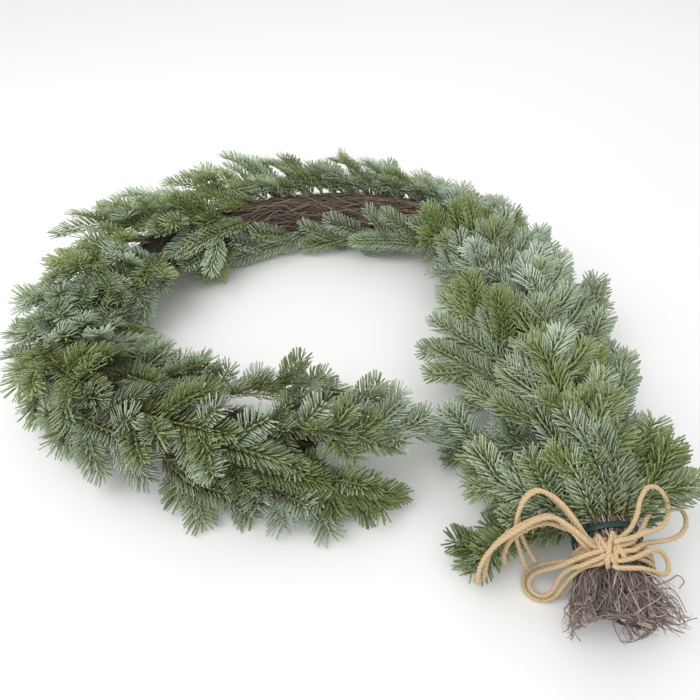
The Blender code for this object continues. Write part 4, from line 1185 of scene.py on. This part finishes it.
def set_tuft(station, clock, tip):
    """Points of a short stem from a foot on the core to a tip, bent a little away from the core."""
    root, _, _, away = on_core(station, clock, -6 * MM)
    points = [root]
    for share in (0.25, 0.5, 0.75, 1):
        bow = (0.7 * away + 0.3 * UP) * 16 * MM * 4 * share * (1 - share)
        point = root + (tip - root) * share + bow
        points.append(kept_clear(point, STEM_GAP, ANY_REACH))
    return np.array(points)


def plant(line):
    """Makes a line the main stem of one more tuft and marks its place as taken."""
    global taken
    tufts.append([line])
    taken = np.vstack([taken, even_line(line, TAKEN_STEP)])


tufts = []
for station, clock, tip in SET_TUFTS:
    plant(set_tuft(station * MM, math.radians(clock), in_frame(tip)))
draw = random.Random(40)
for station in EDGE_STATIONS:
    clock = math.radians(draw.uniform(22, 36))
    plant(row_stem(station * MM, clock, draw.uniform(0.0, 0.2), 96 * MM, draw.uniform(59, 66) * MM))
for clock_degrees in BOW_CLOCKS:
    turn, length = draw.uniform(-0.15, 0.15), draw.uniform(78, 96) * MM
    plant(row_stem(84 * MM, math.radians(clock_degrees), turn, length, 63 * MM))
for step in range(SEARCH_STEPS):
    place = (112 + 18 * step) * MM
    for clock_degrees in (-96, -64, -32, 0, 32, 64, 96):
        clock = math.radians(clock_degrees + draw.uniform(-12, 12))
        bare = BARE_STATIONS[0] < place < BARE_STATIONS[1] and BARE_CLOCKS[0] < clock < BARE_CLOCKS[1]
        if bare or place > LAST_TUFT:
            continue
        spot = on_core(place, clock, 16 * MM)[0]
        if np.linalg.norm(taken - spot, axis=1).min() < TUFT_ROOM:
            continue
        length = draw.uniform(78, 104) * MM
        foot = max(place - 0.45 * length, 100 * MM)
        reach = core_radius(place) + draw.uniform(26, 40) * MM
        plant(row_stem(foot, clock - draw.uniform(-0.1, 0.1), draw.uniform(-0.25, 0.25), length, reach))
for number, stems in enumerate(tufts):
    run = lengths_along(stems[0])[-1]
    for fork, side in ((1, 1), (2, -1)) if number < len(SET_TUFTS) else ((2, draw.choice((-1, 1))),):
        choices = []
        for attempt in range(5):
            length = run * draw.uniform(0.38, 0.52)
            turn = math.radians(44) + draw.uniform(-0.2, 0.2)
            lift = draw.uniform(-0.2, 0.5)
            line = side_stem(stems[0], fork, side, length, (0.5,), turn, lift, ANY_REACH, UPWARD)
            choices.append((room_round(line), -attempt, line))
        take_best(stems, choices)
tuft_run = sum(lengths_along(line)[-1] for stems in tufts for line in stems)
print("tufts", len(tufts), "shoots", sum(len(stems) for stems in tufts), "metres", round(tuft_run, 2))

# %% [markdown]
# ## Needles
# A needle is 28 mm long and about 2.4 mm wide, blunt, with a flat top and a keel below. A root, two rings
# of three points and a tip are enough at this size: twelve triangles. Needles stand in ranks along a shoot,
# parallel like the teeth of a comb: two ranks on each side and a shorter one on top. Every rank has its
# clock angle, its lean from the stem, its share of the length and its upward curl. Near the tip of the
# shoot all of them swing forwards and close it with a round brush. All needles of a shoot are worked out
# together as arrays.

# %% Helper that grows the needles of a shoot
NEEDLE_LENGTH = 28 * MM
NEEDLE_WIDTH = 2.4 * MM
NEEDLE_DEPTH = 0.85 * MM
NEEDLES_PER_METRE = 1090
LOW_RANK, HIGH_RANK, TOP_RANK = (84, 64, 1.0, 0.42), (57, 60, 0.96, 0.24), (22, 48, 0.74, 0.0)
RANKS = np.array((LOW_RANK, HIGH_RANK, LOW_RANK, HIGH_RANK, TOP_RANK))
RING_SHARES = np.array([0.0, 0.36, 0.92, 1.0])
RING_WIDTHS = np.array([0.96, 0.90])
CEILING = 166 * MM
CEILING_SLOPE = 0.3
ROOT, LEFT, RIGHT, KEEL, TIP = 0, 1, 2, 3, 7
NEEDLE_POINTS = 8
one_needle = []
for a, b in ((LEFT, RIGHT), (RIGHT, KEEL), (KEEL, LEFT)):
    one_needle += [(ROOT, a, b), (b, a, a + 3), (b, a + 3, b + 3), (b + 3, a + 3, TIP)]
one_needle = np.array(one_needle)
TWINE_POINTS = np.vstack([smooth_route(in_frame(route), 3 * MM) for route in TWINE_ROUTES.values()])
TWINE_CLEAR = 4.2 * MM
KNOT_CLEAR = 24 * MM


def off_core(points, gap):
    """The points, moved out of the core where they lie in it, and kept above the surface."""
    flat = points.reshape(-1, 3)
    near = np.full(len(flat), 0)
    for low in range(0, len(flat), 4000):
        part = flat[low:low + 4000]
        near[low:low + 4000] = np.linalg.norm(part[:, None] - CORE_LINE[None, ::2], axis=2).argmin(1) * 2
    near = np.minimum(near, len(CORE_LINE) - 1)
    offset = flat - CORE_LINE[near]
    distance = np.linalg.norm(offset, axis=1)
    least = core_radius(CORE_LENGTHS[near]) + gap
    flat = CORE_LINE[near] + offset * (np.maximum(distance, least) / np.maximum(distance, 1e-6))[:, None]
    flat[:, 2] = np.maximum(flat[:, 2], 0.6 * MM)
    return flat.reshape(points.shape)


def grow_needles(line, lift, blueness, lightness, turned, draws, first):
    """Points, triangles and tones of a shoot's needles, which start at the share first of its length."""
    curve = smooth_route(line, 3 * MM)
    lengths = lengths_along(curve)
    total = lengths[-1]
    count = int(total * NEEDLES_PER_METRE)
    share = (np.arange(count) + 0.4 * draws.random(count)) / count
    share = first + (1 - first) * share
    base = at_lengths(curve, lengths, share * total)
    axis = units(at_lengths(np.gradient(curve, axis=0), lengths, share * total))
    top = units(lift - axis * (axis @ lift)[:, None])
    side = np.cross(axis, top)
    order = np.arange(count)
    hand = np.where(order % 2, 1.0, -1.0)
    rank = RANKS[(order // 2) % len(RANKS)]
    at_tip = np.clip((share - 0.84) / 0.16, 0, 1)
    clock = np.radians(rank[:, 0] + draws.normal(0, 4, count))
    away = np.cos(clock)[:, None] * top + (hand * np.sin(clock))[:, None] * side
    lean = rank[:, 1] + draws.normal(0, 4) - 30 * at_tip**1.4 + draws.normal(0, 2.4, count)
    lean = np.radians(lean)[:, None]
    start = units(np.cos(lean) * axis + np.sin(lean) * away)
    up_curl = rank[:, 3] * draws.uniform(0.75, 1.25, count)
    end = units(start + up_curl[:, None] * top + draws.uniform(0.5, 0.72, count)[:, None] * axis)
    young = 0.6 + 0.4 * np.clip(share / 0.15, 0, 1)
    length = NEEDLE_LENGTH * young * rank[:, 2] * (1 - 0.3 * at_tip) * draws.uniform(0.93, 1.04, count)
    t = RING_SHARES[None, :, None]
    middles = base[:, None] + length[:, None, None] * (t * start[:, None] + t**2 / 2 * (end - start)[:, None])
    heading = units(start[:, None] + t * (end - start)[:, None])
    face = top[:, None] - heading * (heading * top[:, None]).sum(-1, keepdims=True)
    roll = draws.normal(0, 0.14, count)[:, None, None]
    face = units(face + roll * np.cross(heading, face))
    wide = np.cross(heading, face)
    middles = off_core(middles, 1.2 * MM)
    half = NEEDLE_WIDTH / 2 * RING_WIDTHS[None, :, None]
    deep = NEEDLE_DEPTH * RING_WIDTHS[None, :, None]
    rings, wide, face = middles[:, 1:3], wide[:, 1:3], face[:, 1:3]
    points = np.stack([rings + wide * half, rings - wide * half, rings - face * deep], axis=2)
    points = np.concatenate([middles[:, :1], points.reshape(count, 6, 3), middles[:, 3:]], axis=1)
    high = points[..., 2] - CEILING
    above_floor = np.maximum(points[..., 2], 0.2 * MM)
    points[..., 2] = np.where(high > 0, CEILING + CEILING_SLOPE * high, above_floor)
    gap = np.linalg.norm(middles[:, 1:, None] - TWINE_POINTS[None, None], axis=-1).min(axis=(1, 2))
    knot_gap = np.linalg.norm(middles[:, 2] - (core_at(WRAP_STATION)[0] + UP * 40 * MM), axis=1)
    keep = (gap > TWINE_CLEAR) & (knot_gap > KNOT_CLEAR)
    tones = np.empty((count, NEEDLE_POINTS, 4))
    tones[..., 0] = np.clip(blueness + draws.normal(0, 0.07, count), 0, 1)[:, None]
    # Painted shade: needles are coloured darker towards the base of their shoot, where the foliage shades
    # them.
    tones[..., 1] = np.clip(draws.normal(lightness, 0.13, count) - 0.1 * (1 - share), 0, 1)[:, None]
    tones[..., 2] = np.repeat(RING_SHARES, (1, 3, 3, 1))[None]
    tones[..., 3] = np.array([0.4] + ([0.85, 0.85, 0.2] if turned else [0.12, 0.12, 1.0]) * 2 + [0.5])[None]
    points, tones = points[keep], tones[keep]
    triangles = one_needle[None] + NEEDLE_POINTS * np.arange(len(points))[:, None, None]
    return points.reshape(-1, 3), triangles.reshape(-1, 3), tones.reshape(-1, 4)


# %% [markdown]
# Each spray is one piece: its stems in bark and all its needles. Sprays differ in how blue they are, and so
# do the shoots of one spray. One shoot in nine is turned and shows its pale undersides. Round the left side
# the sprays get painted light, a lighter colour that makes up for the shade they lie in, and at the free end
# they are darker. The tufts are grown by the same helper, into one piece for each colour.

# %% Grow every spray
FOLIAGE = {"fir_green": (green_needles, 0.0, 0.45), "fir_blue": (blue_needles, 0.3, 0.75)}
# Painted light along the core: how much lighter the needles are coloured at these stations, darker at the
# free end.
PAINTED_LIGHT_STATIONS = np.array((0, 600, 850, 1150, 1600, 1750, 1900)) * MM
PAINTED_LIGHT_LIFTS = (0.0, 0.02, 0.10, 0.20, 0.14, 0.0, -0.10)
TURNED_SHARE = 0.11
draws = np.random.default_rng(8)
needle_total = 0


def grow_stems(shell, stems, spray_blue):
    """Adds all shoots of a spray to a shell: the first line is its main stem."""
    global needle_total
    spray_light = draws.normal(0.5, 0.05)
    for index, line in enumerate(stems):
        if line is None:
            continue
        main = index == 0
        middle_point = line[len(line) // 2]
        nearest = int(np.argmin(np.linalg.norm(CORE_LINE - middle_point, axis=1)))
        away = unit(middle_point - CORE_LINE[nearest])
        lift = unit(0.45 * away + 0.9 * UP + draws.normal(0, 0.24, 3))
        turned = draws.random() < TURNED_SHARE
        blue = spray_blue + draws.normal(0, 0.26) + (0.35 if turned else 0)
        # Painted light: round the left side a lighter colour makes up for the shade there; at the free end
        # the colour is darker.
        painted_light_lift = np.interp(CORE_LENGTHS[nearest], PAINTED_LIGHT_STATIONS, PAINTED_LIGHT_LIFTS)
        light = spray_light + draws.normal(0, 0.09) + painted_light_lift
        first = 0.06 if main else 0.04
        points, triangles, tones = grow_needles(line, lift, blue, light, turned, draws, first)
        shell.add(points, triangles, tones)
        needle_total += len(points) // NEEDLE_POINTS
        curve = smooth_route(line, 8 * MM)
        radii = np.linspace(2.1 if main else 1.5, 0.8, len(curve)) * MM
        shell.add(*round_tube(curve, radii, 5), (0.5, 0.5, 0.5, 1), 1)


for number, stems in enumerate(sprays, 1):
    node = f"fir_spray_{number:02d}"
    slot = next(part["material_slot"] for part in frame["record"]["subparts"] if part["node"] == node)
    finish, least_blue, most_blue = FOLIAGE[slot]
    spray = Shell()
    grow_stems(spray, stems, draws.uniform(least_blue, most_blue))
    made = spray.finish(node + "_needles", [finish, fir_bark])
    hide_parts(node)
for slot, (finish, least_blue, most_blue) in FOLIAGE.items():
    shell = Shell()
    for number, stems in enumerate(tufts):
        if (number % 3 == 1) == (slot == "fir_blue"):
            grow_stems(shell, stems, draws.uniform(least_blue, most_blue))
    made = shell.finish(slot + "_tufts", [finish, fir_bark])
print("needles", needle_total)

# %% [markdown]
# ## Floor and light
# The garland lies on a plain pale floor under an even, soft light, as in a product photograph: a bright
# world all round, one large lamp above the front left and a weaker one behind, so the shadows under the
# sprays stay pale.

# %% Floor, lamps and world
FLOOR_REACH = 9
WORLD_STRENGTH = 0.86
floor_mesh = bpy.data.meshes.new("floor")
corners = [(FLOOR_REACH * x, FLOOR_REACH * y, 0) for x, y in ((-1, -1), (1, -1), (1, 1), (-1, 1))]
floor_mesh.from_pydata(corners, [], [(0, 1, 2, 3)])
floor = bpy.data.objects.new("floor", floor_mesh)
floor.location.z = -0.5 * MM
bpy.context.scene.collection.objects.link(floor)
floor_finish, tree, shader = new_finish("floor_paper")
shader.inputs["Base Color"].default_value = (0.93, 0.93, 0.93, 1)
shader.inputs["Roughness"].default_value = 0.9
floor_mesh.materials.append(floor_finish)

world = bpy.data.worlds.new("soft_white")
world.use_nodes = True
world.node_tree.nodes["Background"].inputs["Color"].default_value = (1.0, 1.0, 1.0, 1)
world.node_tree.nodes["Background"].inputs["Strength"].default_value = WORLD_STRENGTH
bpy.context.scene.world = world
bpy.context.scene.view_settings.view_transform = "Standard"


def area_lamp(name, place, aim, size, power):
    """Sets a square soft lamp that faces a point."""
    lamp = bpy.data.lights.new(name, "AREA")
    lamp.size = size
    lamp.energy = power
    made = bpy.data.objects.new(name, lamp)
    made.location = place
    direction = np.array(aim) - np.array(place)
    tilt = math.atan2(math.hypot(direction[0], direction[1]), -direction[2])
    heading = math.atan2(direction[1], direction[0]) - math.pi / 2
    made.rotation_euler = (tilt, 0, heading)
    bpy.context.scene.collection.objects.link(made)


area_lamp("key_lamp", place=(-1.0, -0.6, 1.9), aim=(-0.1, 0, 0), size=1.6, power=20)
area_lamp("back_lamp", place=(0.8, 1.6, 1.8), aim=(0, 0, 0), size=1.6, power=4)
print("lamps set")

# %% [markdown]
# ## Finish
# The last cell prints the number of pieces, their triangles in all and the three largest pieces.

# %% Finish
print("pieces", len(made_pieces), "triangles", sum(count for name, count in made_pieces))
print("largest", sorted(made_pieces, key=lambda row: -row[1])[:3])
